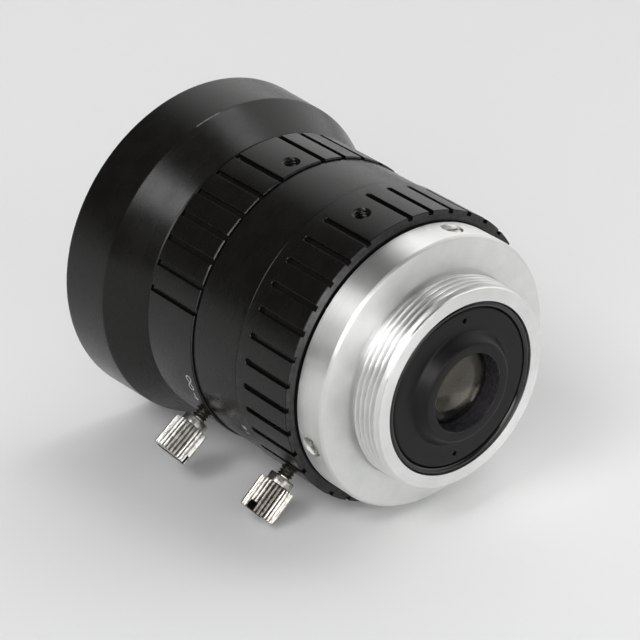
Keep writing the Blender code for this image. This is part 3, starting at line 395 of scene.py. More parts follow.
def glassFinish(name, look):
    # polished glass under a thin coating, faintly smudged
    made, tree, shader = newMaterial(name)
    where = addNode(tree, "TexCoord", {}).outputs["Object"]
    smudge = addNode(tree, "TexNoise", {"Vector": where, "Scale": 350, "Detail": 2}).outputs["Fac"]
    haze = spread(tree, smudge, (0.5, 0.75), look["haze"])
    setInputs(tree, shader, {"Base Color": (*look["tint"], 1), "Transmission Weight": 1, "IOR": look["ior"],
                             "Thin Film Thickness": look["film"], "Thin Film IOR": look["filmIor"],
                             "Roughness": haze})
    return made


# sizes are those of turning lines, grain and mottling; relief is that of lines and grain
metalLooks = {
    "satinBlack": {"metallic": 0.0, "specular": 0.29, "roughness": (0.23, 0.31),
                   "dark": (0.0034, 0.0031, 0.0025), "light": (0.0058, 0.0054, 0.0046),
                   "sizes": (0.35, 0.13, 2.6), "lineTone": 0.25, "relief": (0.3, 0.55),
                   "wearAndHighlight": (0.15, 0.147, 0.14), "patchSize": 0.9},
    # the focus ring's rear face: the same turned black as turnedDark, made lighter as painted highlight on its dashes
    "turnedBlackPaintedLighter": {"roughness": (0.62, 0.70),
                    "dark": (0.14, 0.14, 0.14), "light": (0.24, 0.24, 0.24),
                    "sizes": (0.16, 0.1, 1.5), "lineTone": 0.6, "relief": (1.0, 0.4), "anisotropic": 1.0},
    "turnedDark": {"roughness": (0.60, 0.68),
                   "dark": (0.07, 0.07, 0.07), "light": (0.17, 0.17, 0.17),
                   "sizes": (0.16, 0.1, 0.8), "lineTone": 0.4, "relief": (1.0, 0.4), "anisotropic": 1.0},
    "mattBlack": {"metallic": 0.0, "specular": 0.2, "roughness": (0.3, 0.4),
                  "dark": (0.0040, 0.0038, 0.0038), "light": (0.0070, 0.0067, 0.0067),
                  "sizes": (0.3, 0.12, 3.0), "lineTone": 0.4, "relief": (0.8, 0.6)},
    "glossBlack": {"metallic": 0.0, "roughness": (0.12, 0.2),
                   "dark": (0.004, 0.004, 0.004), "light": (0.007, 0.007, 0.007),
                   "sizes": (0.25, 0.2, 2.0), "lineTone": 0.5, "relief": (0.4, 0.1)},
    # the bore wall over the rear glass, lighter and more purple than the other blacks: painted reflection of the glass
    "borePaintedReflection": {"metallic": 0.0, "roughness": (0.22, 0.32),
                  "dark": (0.019, 0.018, 0.020), "light": (0.032, 0.030, 0.034),
                  "sizes": (0.2, 0.2, 1.0), "lineTone": 0.4, "relief": (0.5, 0.2)},
    "trapBlack": {"metallic": 0.0, "specular": 0.3, "roughness": (0.42, 0.52),
                  "dark": (0.008, 0.008, 0.008), "light": (0.014, 0.014, 0.014),
                  "sizes": (0.3, 0.15, 3.0), "lineTone": 0.4, "relief": (0.3, 0.3)},
    "innerBlack": {"metallic": 0.0, "specular": 0.2, "roughness": (0.6, 0.75),
                   "dark": (0.004, 0.004, 0.004), "light": (0.007, 0.007, 0.007),
                   "sizes": (0.3, 0.15, 3.0), "lineTone": 0.4, "relief": (0.3, 0.2)},
    "brightMetal": {"roughness": (0.38, 0.50),
                    "dark": (0.74, 0.745, 0.735), "light": (0.86, 0.86, 0.85),
                    "sizes": (0.16, 0.25, 3.0), "lineTone": 0.5, "relief": (0.4, 0.1), "anisotropic": 0.9},
    "faceMetal": {"roughness": (0.42, 0.54),
                  "dark": (0.76, 0.765, 0.755), "light": (0.88, 0.88, 0.87),
                  "sizes": (0.16, 0.25, 2.2), "lineTone": 0.35, "relief": (0.5, 0.1), "anisotropic": 0.6},
    "threadMetal": {"roughness": (0.30, 0.38),
                    "dark": (0.68, 0.685, 0.68), "light": (0.83, 0.83, 0.82),
                    "sizes": (0.12, 0.25, 1.5), "lineTone": 0.6, "relief": (0.5, 0.1), "anisotropic": 0.8},
    "nickelPlate": {"roughness": (0.22, 0.32),
                    "dark": (0.10, 0.09, 0.08), "light": (0.18, 0.165, 0.15),
                    "sizes": (0.3, 0.3, 1.2), "lineTone": 0.2, "relief": (0.1, 0.25),
                    "wearAndHighlight": (0.56, 0.54, 0.505), "patchSize": 0.5},
    # the focus screw's nickel: the same plate as nickelPlate, made lighter as painted light
    "nickelPaintedLighter": {"roughness": (0.26, 0.36),
                   "dark": (0.17, 0.165, 0.155), "light": (0.28, 0.27, 0.255),
                   "sizes": (0.3, 0.3, 1.2), "lineTone": 0.2, "relief": (0.1, 0.25),
                   "wearAndHighlight": (0.70, 0.69, 0.66), "patchSize": 0.5},
    # a darker copy of the nickel for the shank of the lock screws: painted shade
    "shankPaintedShade": {"roughness": (0.3, 0.45),
                   "dark": (0.05, 0.047, 0.04), "light": (0.13, 0.122, 0.105),
                   "sizes": (0.3, 0.2, 0.5), "lineTone": 0.2, "relief": (0.2, 0.4)},
    "platedSteel": {"roughness": (0.24, 0.36),
                    "dark": (0.58, 0.57, 0.53), "light": (0.90, 0.88, 0.83),
                    "sizes": (0.3, 0.2, 0.6), "lineTone": 0.2, "relief": (0.2, 0.4)},
    "pinSteel": {"roughness": (0.28, 0.4),
                 "dark": (0.45, 0.45, 0.45), "light": (0.60, 0.60, 0.60),
                 "sizes": (0.2, 0.2, 0.8), "lineTone": 0.4, "relief": (0.4, 0.3)},
    "bladeSteel": {"roughness": (0.38, 0.5),
                   "dark": (0.020, 0.020, 0.021), "light": (0.035, 0.035, 0.036),
                   "sizes": (0.4, 0.12, 1.2), "lineTone": 0.2, "relief": (0.3, 0.6)}}
glassLooks = {
    "rearGlass": {"tint": (0.98, 0.955, 0.93), "ior": 1.52, "film": 52, "filmIor": 1.38, "haze": (0.10, 0.2)},
    "innerGlass": {"tint": (0.985, 0.985, 0.98), "ior": 1.6, "film": 120, "filmIor": 1.38, "haze": (0.01, 0.03)},
    "frontGlass": {"tint": (0.97, 0.98, 0.97), "ior": 1.52, "film": 130, "filmIor": 1.38, "haze": (0.0, 0.03)}}

finishes = {name: metalFinish(name, look) for name, look in metalLooks.items()}
finishes.update((name, glassFinish(name, look)) for name, look in glassLooks.items())
print("finishes made")


# The hood: flared cone, straight band, filter thread and stepped light trap inside

hood = {
    "segments": 320, "bore": 13.85, "longest": 0.6,
    "corners": [(34.9, 13.85, 0), (34.94, 17.94, 0.05), (35.1, 18.1, 0.06), (40.4, 20.7, 0.14),
                (47.5, 20.9, 0.12), (47.75, 20.65, 0.1), (47.75, 19.7, 0.05), (47.4, 19.27, 0)],
    "filterThread": {"from": 45.25, "to": 47.45, "crest": 19.25, "reach": 0.3, "depth": 0.4, "pitch": 0.5,
                     "inside": True},
    "trapFrom": (45.15, 19.1), "trapTo": (39.05, 15.6), "trapSteps": 14, "trapLip": 0.06, "trapUndercut": 0.04,
    "trapSlope": 0.62,
    # the break edge is lighter in two bands of turns: partly wear, partly painted highlight where the lamps catch the
    # rounded break
    "wearAndHighlight": {"stations": (40.28, 40.52), "radius": 20, "bands": [(-21, -9, 0.7), (-58, -36, 0.34)]}}


def hoodOutline():
    t, high, low, steps = hood["filterThread"], hood["trapFrom"], hood["trapTo"], hood["trapSteps"]
    outline = roundOff(hood["corners"], 4)
    outline += threadStations(t["from"], t["to"], t["pitch"], t["crest"])[::-1]
    outline += [(high[0], t["crest"]), high]
    for k in range(steps):
        a = [high[i] + (low[i] - high[i]) * k / steps for i in (0, 1)]
        b = [high[i] + (low[i] - high[i]) * (k + 1) / steps for i in (0, 1)]
        outline += [(b[0] + hood["trapLip"], a[1]), (b[0], a[1] - hood["trapUndercut"]), (b[0], b[1])]
    outline += [(low[0], hood["bore"])]
    return splitLong(outline, hood["longest"])


def hoodFinish(s, r, turn):
    # satin outside, then the light trap's steps and the bore behind them
    if r < hood["bore"] + 0.05:
        return 2
    deepest, radius = hood["trapTo"]
    inTrap = deepest - 0.15 < s < hood["trapFrom"][0] + 0.05
    return 1 if inTrap and r < radius + 0.1 + (s - deepest) * hood["trapSlope"] else 0


hoodPiece = addPiece("frontHood", spun("frontHood", hoodOutline(), hood["segments"], [hood["filterThread"]]),
                     ["satinBlack", "trapBlack", "innerBlack"], "front_group", ["front_hood"], "black_anodised",
                     hoodFinish)
markWearAndHighlight(hoodPiece, edgeWearAndHighlight(hood["wearAndHighlight"]))
print("hood made")


# The grip rings: slotted round the rim, three tapped holes each

gripSlots = {"divisions": 36, "slotHalf": 0.36, "slotDepth": 0.5, "edge": 0.07, "floorEdge": 0.06}
focusLook = {
    **gripSlots, "name": "focusRing", "node": "focus_ring", "body": "focus_control", "rearFace": "turnedBlackPaintedLighter",
    "recess": (18.1, 0.2), "radius": 18.37, "start": 26.35, "end": 34.62, "bore": 16.0, "frontStep": (33.5, 17.2),
    "holeTurn": -8.0, "holeStation": 28.4, "lockTurn": -128.0, "window": 95.0,
    "pinTurn": 85.0, "pinStation": 30.95, "slotEnd": None,
    # a lighter band on the rear edge from turn -62 to -20: painted highlight of the lamps on the bright dashes
    "wearAndHighlight": {"stations": (26.3, 26.42), "radius": 18.2, "bands": [(-62, -20, 0.5)]}}
irisLook = {
    **gripSlots, "name": "irisRing", "node": "iris_ring", "body": "iris_control", "rearFace": "turnedDark",
    "recess": (17.0, 0.25), "radius": 18.3, "start": 9.1, "end": 18.1, "bore": 16.3, "frontStep": None,
    "holeTurn": -13.4, "holeStation": 13.8, "lockTurn": -133.4, "window": 0.0,
    "pinTurn": 95.0, "pinStation": 16.9, "slotEnd": 16.24,
    # a lighter band along the front edge from turn -80 to -35: partly wear, partly painted highlight
    "wearAndHighlight": {"stations": (17.99, 18.15), "radius": 18.18, "bands": [(-80, -35, 0.52)]}}
tapped = {"major": 1.05, "minor": 0.86, "pitch": 0.4, "clear": 1.06, "countersink": 0.1, "widest": 0.25,
          "lockFlare": 0.12, "pinHole": 0.85, "pinDepth": 0.9}


def slotSection(look):
    # half of a slot's section as (distance from its middle, depth), from the land down to the floor
    half, depth, e, f = look["slotHalf"], look["slotDepth"], look["edge"], look["floorEdge"]
    side = [(half + e - e * math.sin(math.radians(a)), e - e * math.cos(math.radians(a))) for a in (0, 25, 50, 72, 90)]
    side += [(half, depth - f), (half - f * 0.3, depth - f * 0.3), (half - f, depth)]
    side += [(half * 0.6, depth), (half * 0.3, depth)]
    return [(-x, d) for x, d in side] + [(0, depth)] + side[::-1]


def ringColumns(look):
    # every column round the ring as (turn, distance from the slot's middle, depth)
    columns = []
    pitch = 360 / look["divisions"]
    landFrom = math.degrees(math.asin((look["slotHalf"] + look["edge"]) / look["radius"]))
    span = pitch / 2 - landFrom
    for i in range(look["divisions"]):
        centre = look["holeTurn"] + i * pitch
        if i % (look["divisions"] // 3) == 0 or turnGap(centre, look["lockTurn"]) < look["window"] / 2:
            columns += [(centre - pitch / 2 + pitch * k / 10, 0, 0) for k in range(10)]
            continue
        columns += [(centre - pitch / 2 + span * k / 4, 0, 0) for k in range(4)]
        columns += [(centre, x, d) for x, d in slotSection(look)]
        columns += [(centre + landFrom + span * k / 4, 0, 0) for k in range(1, 4)]
    return columns


def ringPoint(look, column, station, radius, cut):
    turn, x, depth = column
    r = min(look["radius"] - (depth if cut else 0), radius)
    inside = radius < look["radius"] - look["slotDepth"] - 0.02
    lean = math.degrees(math.asin(x / (look["radius"] if inside else r)))
    return place(turn + lean, r, station)


def slotEndShift(look, x, grow):
    half = look["slotHalf"] + grow
    return math.sqrt(max(half * half - x * x, 0))


def slotEndRows(look, columns):
    # the round end of each slot, from its floor up its wall and over its edge
    R, e, endAt = look["radius"], look["edge"], look["slotEnd"]
    rows = [[ringPoint(look, c, endAt, R, True) for c in columns]]
    for deepest, grow in ((look["slotDepth"], 0), (e, 0), (e * 0.3, e * 0.7)):
        rows.append([ringPoint(look, (turn, x, min(d, deepest)), endAt + slotEndShift(look, x, grow) * (d > 0), R, True)
                     for turn, x, d in columns])
    rows.append([ringPoint(look, (turn, x, d), endAt + slotEndShift(look, x, e) * (d > 0 or x != 0), R, False)
                 for turn, x, d in columns])
    return rows


def ringRows(look):
    R, start, end, bore = look["radius"], look["start"], look["end"], look["bore"]
    recessRadius, recessDepth = look["recess"]
    corners = [(start + recessDepth, bore, 0), (start + recessDepth, recessRadius, 0),
               (start, recessRadius + 0.05, 0.02), (start, R - 0.07, 0.03), (start + 0.06, R, 0.03),
               (end - 0.1, R, 0.04), (end, R - 0.1, 0.04)]
    if look["frontStep"]:
        stepFrom, stepRadius = look["frontStep"]
        corners += [(end, stepRadius, 0), (stepFrom, stepRadius, 0), (stepFrom, bore, 0)]
    else:
        corners += [(end, bore, 0)]
    outline = roundOff(corners)
    columns = ringColumns(look)
    rows, cut = [], True
    for i, (s, r) in enumerate(outline):
        rows.append([ringPoint(look, c, s, r, cut) for c in columns])
        if look["slotEnd"] and cut and s < look["slotEnd"] < outline[(i + 1) % len(outline)][0]:
            rows += slotEndRows(look, columns)
            cut = False
    return rows


def tappedHole(bm, turn, station, low, high, surface):
    t = tapped
    steps = 40
    levels = [(low, 0)] + [(low + (high - low) * k / steps, t["major"]) for k in range(steps + 1)] + [(high, 0)]

    def shape(level, height, radius, angle):
        wall = t["major"] - (t["major"] - t["minor"]) * (1 - threadCut(height / t["pitch"] - angle / 360))
        sunk = height - surface + t["countersink"]
        return max(wall, t["major"] + min(sunk, t["widest"])) if sunk > 0 else wall
    bridge(bm, studRows(turn, station, levels, 36, shape), False)


def makeGripRing(look):
    mesh = gridMesh(look["name"], ringRows(look))
    bm = bmesh.new()
    R, station = look["radius"], look["holeStation"]
    low, high = look["bore"] - overshoot, R + overshoot
    for k in range(3):
        turn = look["holeTurn"] + 120 * k
        if turnGap(turn, look["lockTurn"]) < 1:
            radialRound(bm, turn, station, tapped["clear"], low, high, 40, tapped["lockFlare"], R - 0.1)
        else:
            tappedHole(bm, turn, station, low, high, R)
    radialRound(bm, look["pinTurn"], look["pinStation"], tapped["pinHole"], low, R - tapped["pinDepth"])

    def ringFinish(s, r, turn):
        # satin, then the turned rear face and the recess within it
        if s < look["start"] + 0.005:
            return 1
        return 2 if s < look["start"] + 0.3 and r < look["recess"][0] + 0.03 else 0
    ring = addPiece(look["name"], cutAway(mesh, bm), ["satinBlack", look["rearFace"], "innerBlack"], look["body"],
                    [look["node"]], "black_anodised", ringFinish)
    markWearAndHighlight(ring, edgeWearAndHighlight(look["wearAndHighlight"]))


makeGripRing(focusLook)
makeGripRing(irisLook)
print("grip rings made")


# The barrel: tube end, spigot, sleeves under the rings and the waist between them

barrel = {
    "segments": 288, "longest": 0.8,
    "corners": [(0.55, 9.97, 0), (0.32, 9.97, 0.1), (0.05, 10.2, 0.16), (0.05, 10.5, 0.16), (0.3, 10.72, 0.12),
                (5.2, 10.72, 0), (5.2, 13.9, 0), (5.25, 13.9, 0), (5.65, 13.5, 0), (9.05, 13.5, 0), (9.05, 16.2, 0),
                (18.2, 16.2, 0), (18.2, 17.98, 0.04), (18.32, 18.1, 0.05), (26.06, 18.1, 0.04), (26.14, 18.02, 0.03),
                (26.14, 15.9, 0), (33.55, 15.9, 0), (33.55, 15.3, 0), (34.6, 15.3, 0), (34.6, 13.9, 0),
                (18.6, 13.9, 0), (18.6, 12.6, 0), (12.71, 12.6, 0), (12.71, 9.97, 0)],
    "irisSlot": {"radii": (12.3, 16.5), "half": 0.9, "turns": (95 - 4.6, 170 + 4.6), "stations": (16.9, 16.9)},
    "focusSlot": {"radii": (13.6, 16.2), "half": 0.9, "turns": (85 - 4.2, 185 + 4.2), "stations": (30.95, 30.95)},
    "guideTurn": -40, "guideStation": 30.95, "guideHole": 0.85}


def barrelFinish(s, r, turn):
    # satin, then the gloss tube end and the bore
    if s < 1.0 and r > 9.9:
        return 1
    return 2 if r < 9.99 or (12.7 < s < 34 and r < 13.95) else 0


barrelMesh = turnedMesh("mainBarrel", barrel["corners"], barrel["longest"], barrel["segments"])
cuts = bmesh.new()
curvedSlot(cuts, barrel["irisSlot"])
curvedSlot(cuts, barrel["focusSlot"])
radialRound(cuts, barrel["guideTurn"], barrel["guideStation"], barrel["guideHole"], *barrel["focusSlot"]["radii"])
barrelPiece = addPiece("mainBarrel", cutAway(barrelMesh, cuts), ["satinBlack", "glossBlack", "innerBlack"], "barrel",
                       ["main_barrel"], "black_anodised", barrelFinish)
markWearAndHighlight(barrelPiece, lambda s, r, turn: 0)
print("barrel made")


# The mount ring: one inch thread of 32 to the inch, flange and plain rim

mount = {
    "segments": 320, "longest": 0.5,
    "tipCorners": [(0.0, 10.77, 0.05), (0.0, 12.3, 0.06), (0.42, 12.69, 0)],
    "thread": {"from": 0.1, "to": 3.8, "crest": 12.7, "reach": 0.6, "depth": 0.487, "pitch": 0.79375, "inside": False},
    "bodyCorners": [(3.8, 12.7, 0), (3.8, 12.1, 0), (4.7, 12.1, 0.05), (4.7, 12.8, 0), (4.6, 12.8, 0.03),
                    (4.6, 16.65, 0.08), (4.9, 16.95, 0.08), (8.7, 16.95, 0.06), (8.72, 16.4, 0), (9.0, 16.4, 0),
                    (9.0, 13.95, 0), (5.15, 13.95, 0), (5.15, 10.77, 0)],
    "screwTurns": (11.5, 131.5, 251.5), "screwStation": 6.9, "screwHole": 1.32, "holeFrom": 13.7, "holeTo": 17.4,
    "holeFlare": 0.14, "flareFrom": 16.88}


def mountOutline():
    t = mount["thread"]
    outline = roundOff(mount["tipCorners"])
    outline += threadStations(mount["tipCorners"][-1][0], t["to"], t["pitch"], t["crest"], 14)
    outline += roundOff(mount["bodyCorners"])
    return splitLong(outline, mount["longest"])


def mountFinish(s, r, turn):
    # the bright rim, then the gap before the iris ring in black as painted shade, the thread and the flat faces
    if s > 8.705 and r < 16.9:
        return 1
    if 0.2 < s < 4.69 and r < 12.79:
        return 2
    return 3 if s < 4.61 and r < 16.66 else 0


cuts = bmesh.new()
for turn in mount["screwTurns"]:
    radialRound(cuts, turn, mount["screwStation"], mount["screwHole"], mount["holeFrom"], mount["holeTo"], 48,
                mount["holeFlare"], mount["flareFrom"])
addPiece("mountRing", cutAway(spun("mountRing", mountOutline(), mount["segments"], [mount["thread"]]), cuts),
         ["brightMetal", "innerBlack", "threadMetal", "faceMetal"], "barrel", ["mount_ring"], "bright_aluminium",
         mountFinish)
print("mount ring made")


# The set screws in the mount ring: slotted, cup-ended, sunk just under the rim

setScrew = {"radius": 1.25, "shank": 1.2, "foot": 13.56, "top": 16.735, "slotWidth": 0.36, "slotDepth": 0.42,
            "slotReach": 2.0, "pitch": 0.45, "threadDepth": 0.16,
            "footLevels": [(0, 0), (0, 0.7), (0.4, 1.1)], "threadFrom": 0.45, "threadBelow": 0.2,
            "topLevels": [(-0.12, 1.22), (-0.05, 1.17), (0, 1.05), (-0.03, 0.8), (-0.05, 0)]}


def makeSetScrew(index, turn):
    s = setScrew
    steps = 50
    low, high = s["foot"] + s["threadFrom"], s["top"] - s["threadBelow"]
    levels = [(s["foot"] + height, radius) for height, radius in s["footLevels"]]
    levels += [(low + (high - low) * k / steps, s["shank"]) for k in range(steps + 1)]
    levels += [(s["top"] + height, radius) for height, radius in s["topLevels"]]

    def shape(level, height, radius, angle):
        if radius != s["shank"]:
            return radius
        return s["radius"] - 0.02 - s["threadDepth"] * threadCut(height / s["pitch"] - angle / 360)
    mesh = gridMesh("setScrew", studRows(turn, mount["screwStation"], levels, 40, shape), False)
    cut = bmesh.new()
    closedBlock(cut, studBlock(turn, mount["screwStation"], s["slotReach"], s["slotWidth"] / 2,
                               s["top"] - s["slotDepth"], s["top"] + 1))
    addPiece("mountSetScrew%d" % index, cutAway(mesh, cut), ["platedSteel"], "barrel",
             ["mount_set_screw_%d" % index], "plated_steel")


for index, turn in enumerate(mount["screwTurns"]):
    makeSetScrew(index + 1, turn)
print("set screws made")


# The rear cell: flat plate with two spanner holes, low cone and the opening for the rear glass

rearCell = {
    "segments": 224, "longest": 0.4, "spannerCircle": 8.585,
    "corners": [(-1.1, 4.9, 0.07), (-1.1, 6.1, 0.12), (-0.8, 6.4, 0.14), (0.27, 7.2, 0.12), (0.27, 9.74, 0.04),
                (0.42, 9.92, 0.04), (11.246, 9.92, 0), (11.246, 6.2, 0), (1.6, 6.2, 0), (1.6, 4.9, 0.05)],
    "spannerLevels": [(-0.2, 0), (-0.2, 0.42), (0.19, 0.42), (0.33, 0.3), (1.0, 0.3), (1.15, 0)]}


def spannerRing(middle, radius):
    if radius == 0:
        return [middle]
    return [middle + Vector((math.cos(a * math.pi / 12), 0, math.sin(a * math.pi / 12))) * radius / 1000
            for a in range(24)]


cuts = bmesh.new()
for sign in (1, -1):
    bridge(cuts, [spannerRing(place(0, rearCell["spannerCircle"] * sign, s), r)
                  for s, r in rearCell["spannerLevels"]], False)
mesh = turnedMesh("rearCell", rearCell["corners"], rearCell["longest"], rearCell["segments"])
# the bore wall over the rear glass takes the lighter, purplish black as painted reflection
addPiece("rearCell", cutAway(mesh, cuts), ["mattBlack", "innerBlack", "borePaintedReflection"], "barrel", ["rear_cell"],
         "matt_black", lambda s, r, turn: 1 if s > 1.62 and r < 6.3 else 2 if r < 4.95 else 0)
print("rear cell made")


# The front cell with its name face left bare, and the ring that holds the front glass

frontCell = {
    "segments": 256, "longest": 0.6,
    "corners": [(19.5, 10.4, 0), (19.5, 13.8, 0), (40.85, 13.8, 0.08), (41.0, 13.65, 0.05), (41.0, 12.72, 0.04),
                (40.9, 12.6, 0), (37.0, 12.6, 0), (37.0, 11.0, 0.05), (30.1, 9.6, 0), (30.1, 10.4, 0)],
    "helix": {"radii": (13.0, 14.1), "half": 0.9, "turns": (85 - 4.4, 185 + 4.4),
              "stations": (30.95 + 0.026, 30.95 - 0.6 - 0.026)},
    "guideTurn": -40, "guideStations": (29.45, 31.85), "guideHalf": 0.9, "innerTo": 38}
keeper = {
    "segments": 224,
    "corners": [(39.416, 11.55, 0), (39.416, 12.55, 0), (40.9, 12.55, 0.06), (40.9, 11.9, 0.06), (40.35, 11.55, 0.05)],
    "notchTurns": (30, 210), "notchStations": (40.2, 41.2), "notchHalf": 0.8, "notchRadii": (11.2, 13.0)}

mesh = turnedMesh("frontCell", frontCell["corners"], frontCell["longest"], frontCell["segments"])
cuts = bmesh.new()
curvedSlot(cuts, frontCell["helix"])
radialSlot(cuts, frontCell["guideTurn"], *frontCell["guideStations"], frontCell["guideHalf"],
           *frontCell["helix"]["radii"])
addPiece("frontCell", cutAway(mesh, cuts), ["mattBlack", "innerBlack"], "front_group", ["front_cell"], "matt_black",
         lambda s, r, turn: 1 if s < frontCell["innerTo"] else 0)

mesh = spun("frontKeeper", roundOff(keeper["corners"]), keeper["segments"])
cuts = bmesh.new()
for turn in keeper["notchTurns"]:
    radialSlot(cuts, turn, *keeper["notchStations"], keeper["notchHalf"], *keeper["notchRadii"])
addPiece("frontKeeper", cutAway(mesh, cuts), ["mattBlack"], "front_group", ["front_retaining_ring"], "matt_black")
print("front cell made")


# The glass: each side of an element is (vertex station, curve, rim radius)

elements = {
    "rearLens": {"node": "rear_lens", "body": "barrel", "finish": "rearGlass", "slot": "coated_glass",
                 "rear": (-0.05, 10.004, 4.8), "front": (5.288, -14.03, 6.1), "edge": [(1.72, 4.8), (1.72, 6.1)],
                 "shoulder": (1.8, 4.78)},
    "rearFlint": {"node": "rear_flint", "body": "barrel", "finish": "innerGlass", "slot": "inner_glass",
                  "rear": (6.047, 39.65, 6.1), "front": (7.021, 17.507, 6.1), "edge": []},
    "rearCrown": {"node": "rear_crown", "body": "barrel", "finish": "innerGlass", "slot": "inner_glass",
                  "rear": (7.071, 17.507, 6.1), "front": (10.516, -13.176, 6.1), "edge": []},
    "thirdLens": {"node": "third_lens", "body": "front_group", "finish": "innerGlass", "slot": "inner_glass",
                  "rear": (22.694, -40.17, 8.2), "front": (24.274, 22.145, 8.2),
                  "edge": [(21.848, 10.3), (25.848, 10.3)]},
    "secondLens": {"node": "second_lens", "body": "front_group", "finish": "innerGlass", "slot": "inner_glass",
                   "rear": (27.712, 59.74, 10.3), "front": (31.856, -25.75, 10.3), "edge": []},
    "frontLens": {"node": "front_lens", "body": "front_group", "finish": "frontGlass", "slot": "coated_glass",
                  "rear": (39.811, -18.0, 9.5), "front": (41.628, -30.0, 12.5), "edge": [(37.1, 12.5)]}}


def surfacePoints(vertex, curve, rim, steps=26):
    points = []
    for k in range(steps + 1):
        r = rim * k / steps
        sag = abs(curve) - math.sqrt(curve * curve - r * r)
        points.append((vertex + math.copysign(sag, curve), r))
    return points


def makeElement(name, element):
    rearSide = surfacePoints(*element["rear"])
    frontSide = surfacePoints(*element["front"])
    mesh = spun(name, rearSide + element["edge"] + frontSide[::-1], 160, (), False)
    rim = max(element["rear"][2], element["front"][2], *[r for s, r in element["edge"]] or [0])
    shoulderTo, shoulderRadius = element.get("shoulder", (0, rim))

    def edgePaint(s, r, turn):
        return 1 if r > rim - 0.02 or (s < shoulderTo and r > shoulderRadius) else 0
    addPiece(name, mesh, [element["finish"], "innerBlack"], element["body"], [element["node"]], element["slot"],
             edgePaint, 40)


for name, element in elements.items():
    makeElement(name, element)
print("glass made")


# The lock screws: knurled heads with a driver slot, on a threaded shank

lockLooks = {
    "focusLock": {"node": "focus_lock_screw", "body": "focus_lock", "turn": -128.0, "station": 28.4, "foot": 16.0,
                  "collar": 19.62, "slotTurn": -18.0, "finish": "nickelPaintedLighter"},
    "irisLock": {"node": "iris_lock_screw", "body": "iris_lock", "turn": -133.4, "station": 13.8, "foot": 16.3,
                 "collar": 19.55, "slotTurn": 78.0, "finish": "nickelPlate"}}
lockSizes = {"shank": 0.95, "neck": 0.74, "threadDepth": 0.22, "pitch": 0.4, "collarRadius": 1.6, "collarHeight": 1.0,
             "headRadius": 2.32, "headHeight": 4.2, "chamfer": 0.12, "ridges": 26, "ridgeDepth": 0.36,
             "crestShare": 0.92, "slotWidth": 0.95, "slotReach": 3.0, "slotDepth": 1.05,
             "grooveGrimeAndShade": 0.22, "crestWearAndHighlight": 0.68, "plainWear": 0.7}


def lockLevels(look):
    # rows of the turned blank as (kind, height, radius)
    z = lockSizes
    foot, collar, chamfer, R = look["foot"], look["collar"], z["chamfer"], z["headRadius"]
    head = collar + z["collarHeight"]
    top = head + z["headHeight"]
    low, high, steps = foot + 0.3, collar - 0.25, 60
    collarRadius, root = z["collarRadius"], R - z["ridgeDepth"]
    rows = [("plain", foot, 0), ("plain", foot, 0.6), ("plain", foot + 0.25, 0.78)]
    rows += [("thread", low + (high - low) * k / steps, z["shank"]) for k in range(steps + 1)]
    rows += [("plain", h, r) for h, r in (
        (collar - 0.2, z["neck"]), (collar, z["neck"]), (collar, collarRadius - 0.1),
        (collar + 0.06, collarRadius - 0.03), (collar + 0.12, collarRadius), (head - 0.05, collarRadius),
        (head, collarRadius + 0.06), (head + 0.01, root - 0.05))]
    rows += [("knurl", head + 0.02 + chamfer * k / 4, R - chamfer * (4 - k) / 4) for k in range(5)]
    rows += [("knurl", head + chamfer + (z["headHeight"] - 2 * chamfer) * k / 6, R) for k in range(1, 7)]
    rows += [("knurl", top - chamfer * (4 - k) / 4, R - chamfer * k / 4) for k in range(1, 5)]
    rows += [("plain", top, root - 0.1), ("plain", top, R - 0.9), ("plain", top, 0)]
    return rows


def makeLockScrew(name, look):
    z = lockSizes
    levels = lockLevels(look)
    head = look["collar"] + z["collarHeight"]
    top = head + z["headHeight"]
    root = z["headRadius"] - z["ridgeDepth"]

    def shape(level, height, radius, angle):
        kind = levels[level][0]
        if kind == "thread":
            return radius - z["threadDepth"] * threadCut(height / z["pitch"] - angle / 360)
        if kind == "knurl":
            wave = abs((angle * z["ridges"] / 360) % 1 - 0.5) * 2
            groove = z["ridgeDepth"] * max(1 - wave / z["crestShare"], 0)
            return min(radius, z["headRadius"] - groove)
        return radius
    turn, station = look["turn"], look["station"]
    mesh = gridMesh(name, studRows(turn, station, [row[1:] for row in levels], z["ridges"] * 10, shape), False)
    cut = bmesh.new()
    closedBlock(cut, studBlock(turn, station, z["slotWidth"] / 2, z["slotReach"], top - z["slotDepth"], top + 1,
                               look["slotTurn"]))
    side, along, out = studFrame(turn)
    swung = math.radians(-look["slotTurn"])

    def ownPlace(s, r, at):
        # across the screw, along the lens and out along the screw
        gap = (place(at, r, s) - place(turn, 0, station)) * 1000
        return gap.dot(side), gap.dot(along), gap.dot(out)

    def lockFinish(s, r, at):
        # the knurled head, then the shank in a darker plate as painted shade, and the inside of the slot in matt black
        # as painted shade
        x, y, height = ownPlace(s, r, at)
        if height < look["collar"] - 0.1:
            return 1
        # the inside of the driver slot takes matt black: painted shade
        slotPaintedShade = abs(x * math.cos(swung) - y * math.sin(swung)) < z["slotWidth"] / 2 + 0.004
        return 2 if slotPaintedShade and height > top - z["slotDepth"] - 0.004 else 0

    def lockWearAndHighlight(s, r, at):
        # lighter on the ridges and darker in the grooves: partly wear and grime, partly painted highlight on the crests
        # and painted shade in the grooves
        x, y, height = ownPlace(s, r, at)
        reach = math.hypot(x, y)
        if height < head - 0.02 or reach < root - 0.08:
            return z["plainWear"]
        return z["grooveGrimeAndShade"] + z["crestWearAndHighlight"] * (reach - root) / z["ridgeDepth"]
    screw = addPiece(name, cutAway(mesh, cut), [look["finish"], "shankPaintedShade", "mattBlack"], look["body"],
                     [look["node"]], "nickel_plate", lockFinish)
    markWearAndHighlight(screw, lockWearAndHighlight)


for name, look in lockLooks.items():
    makeLockScrew(name, look)
print("lock screws made")


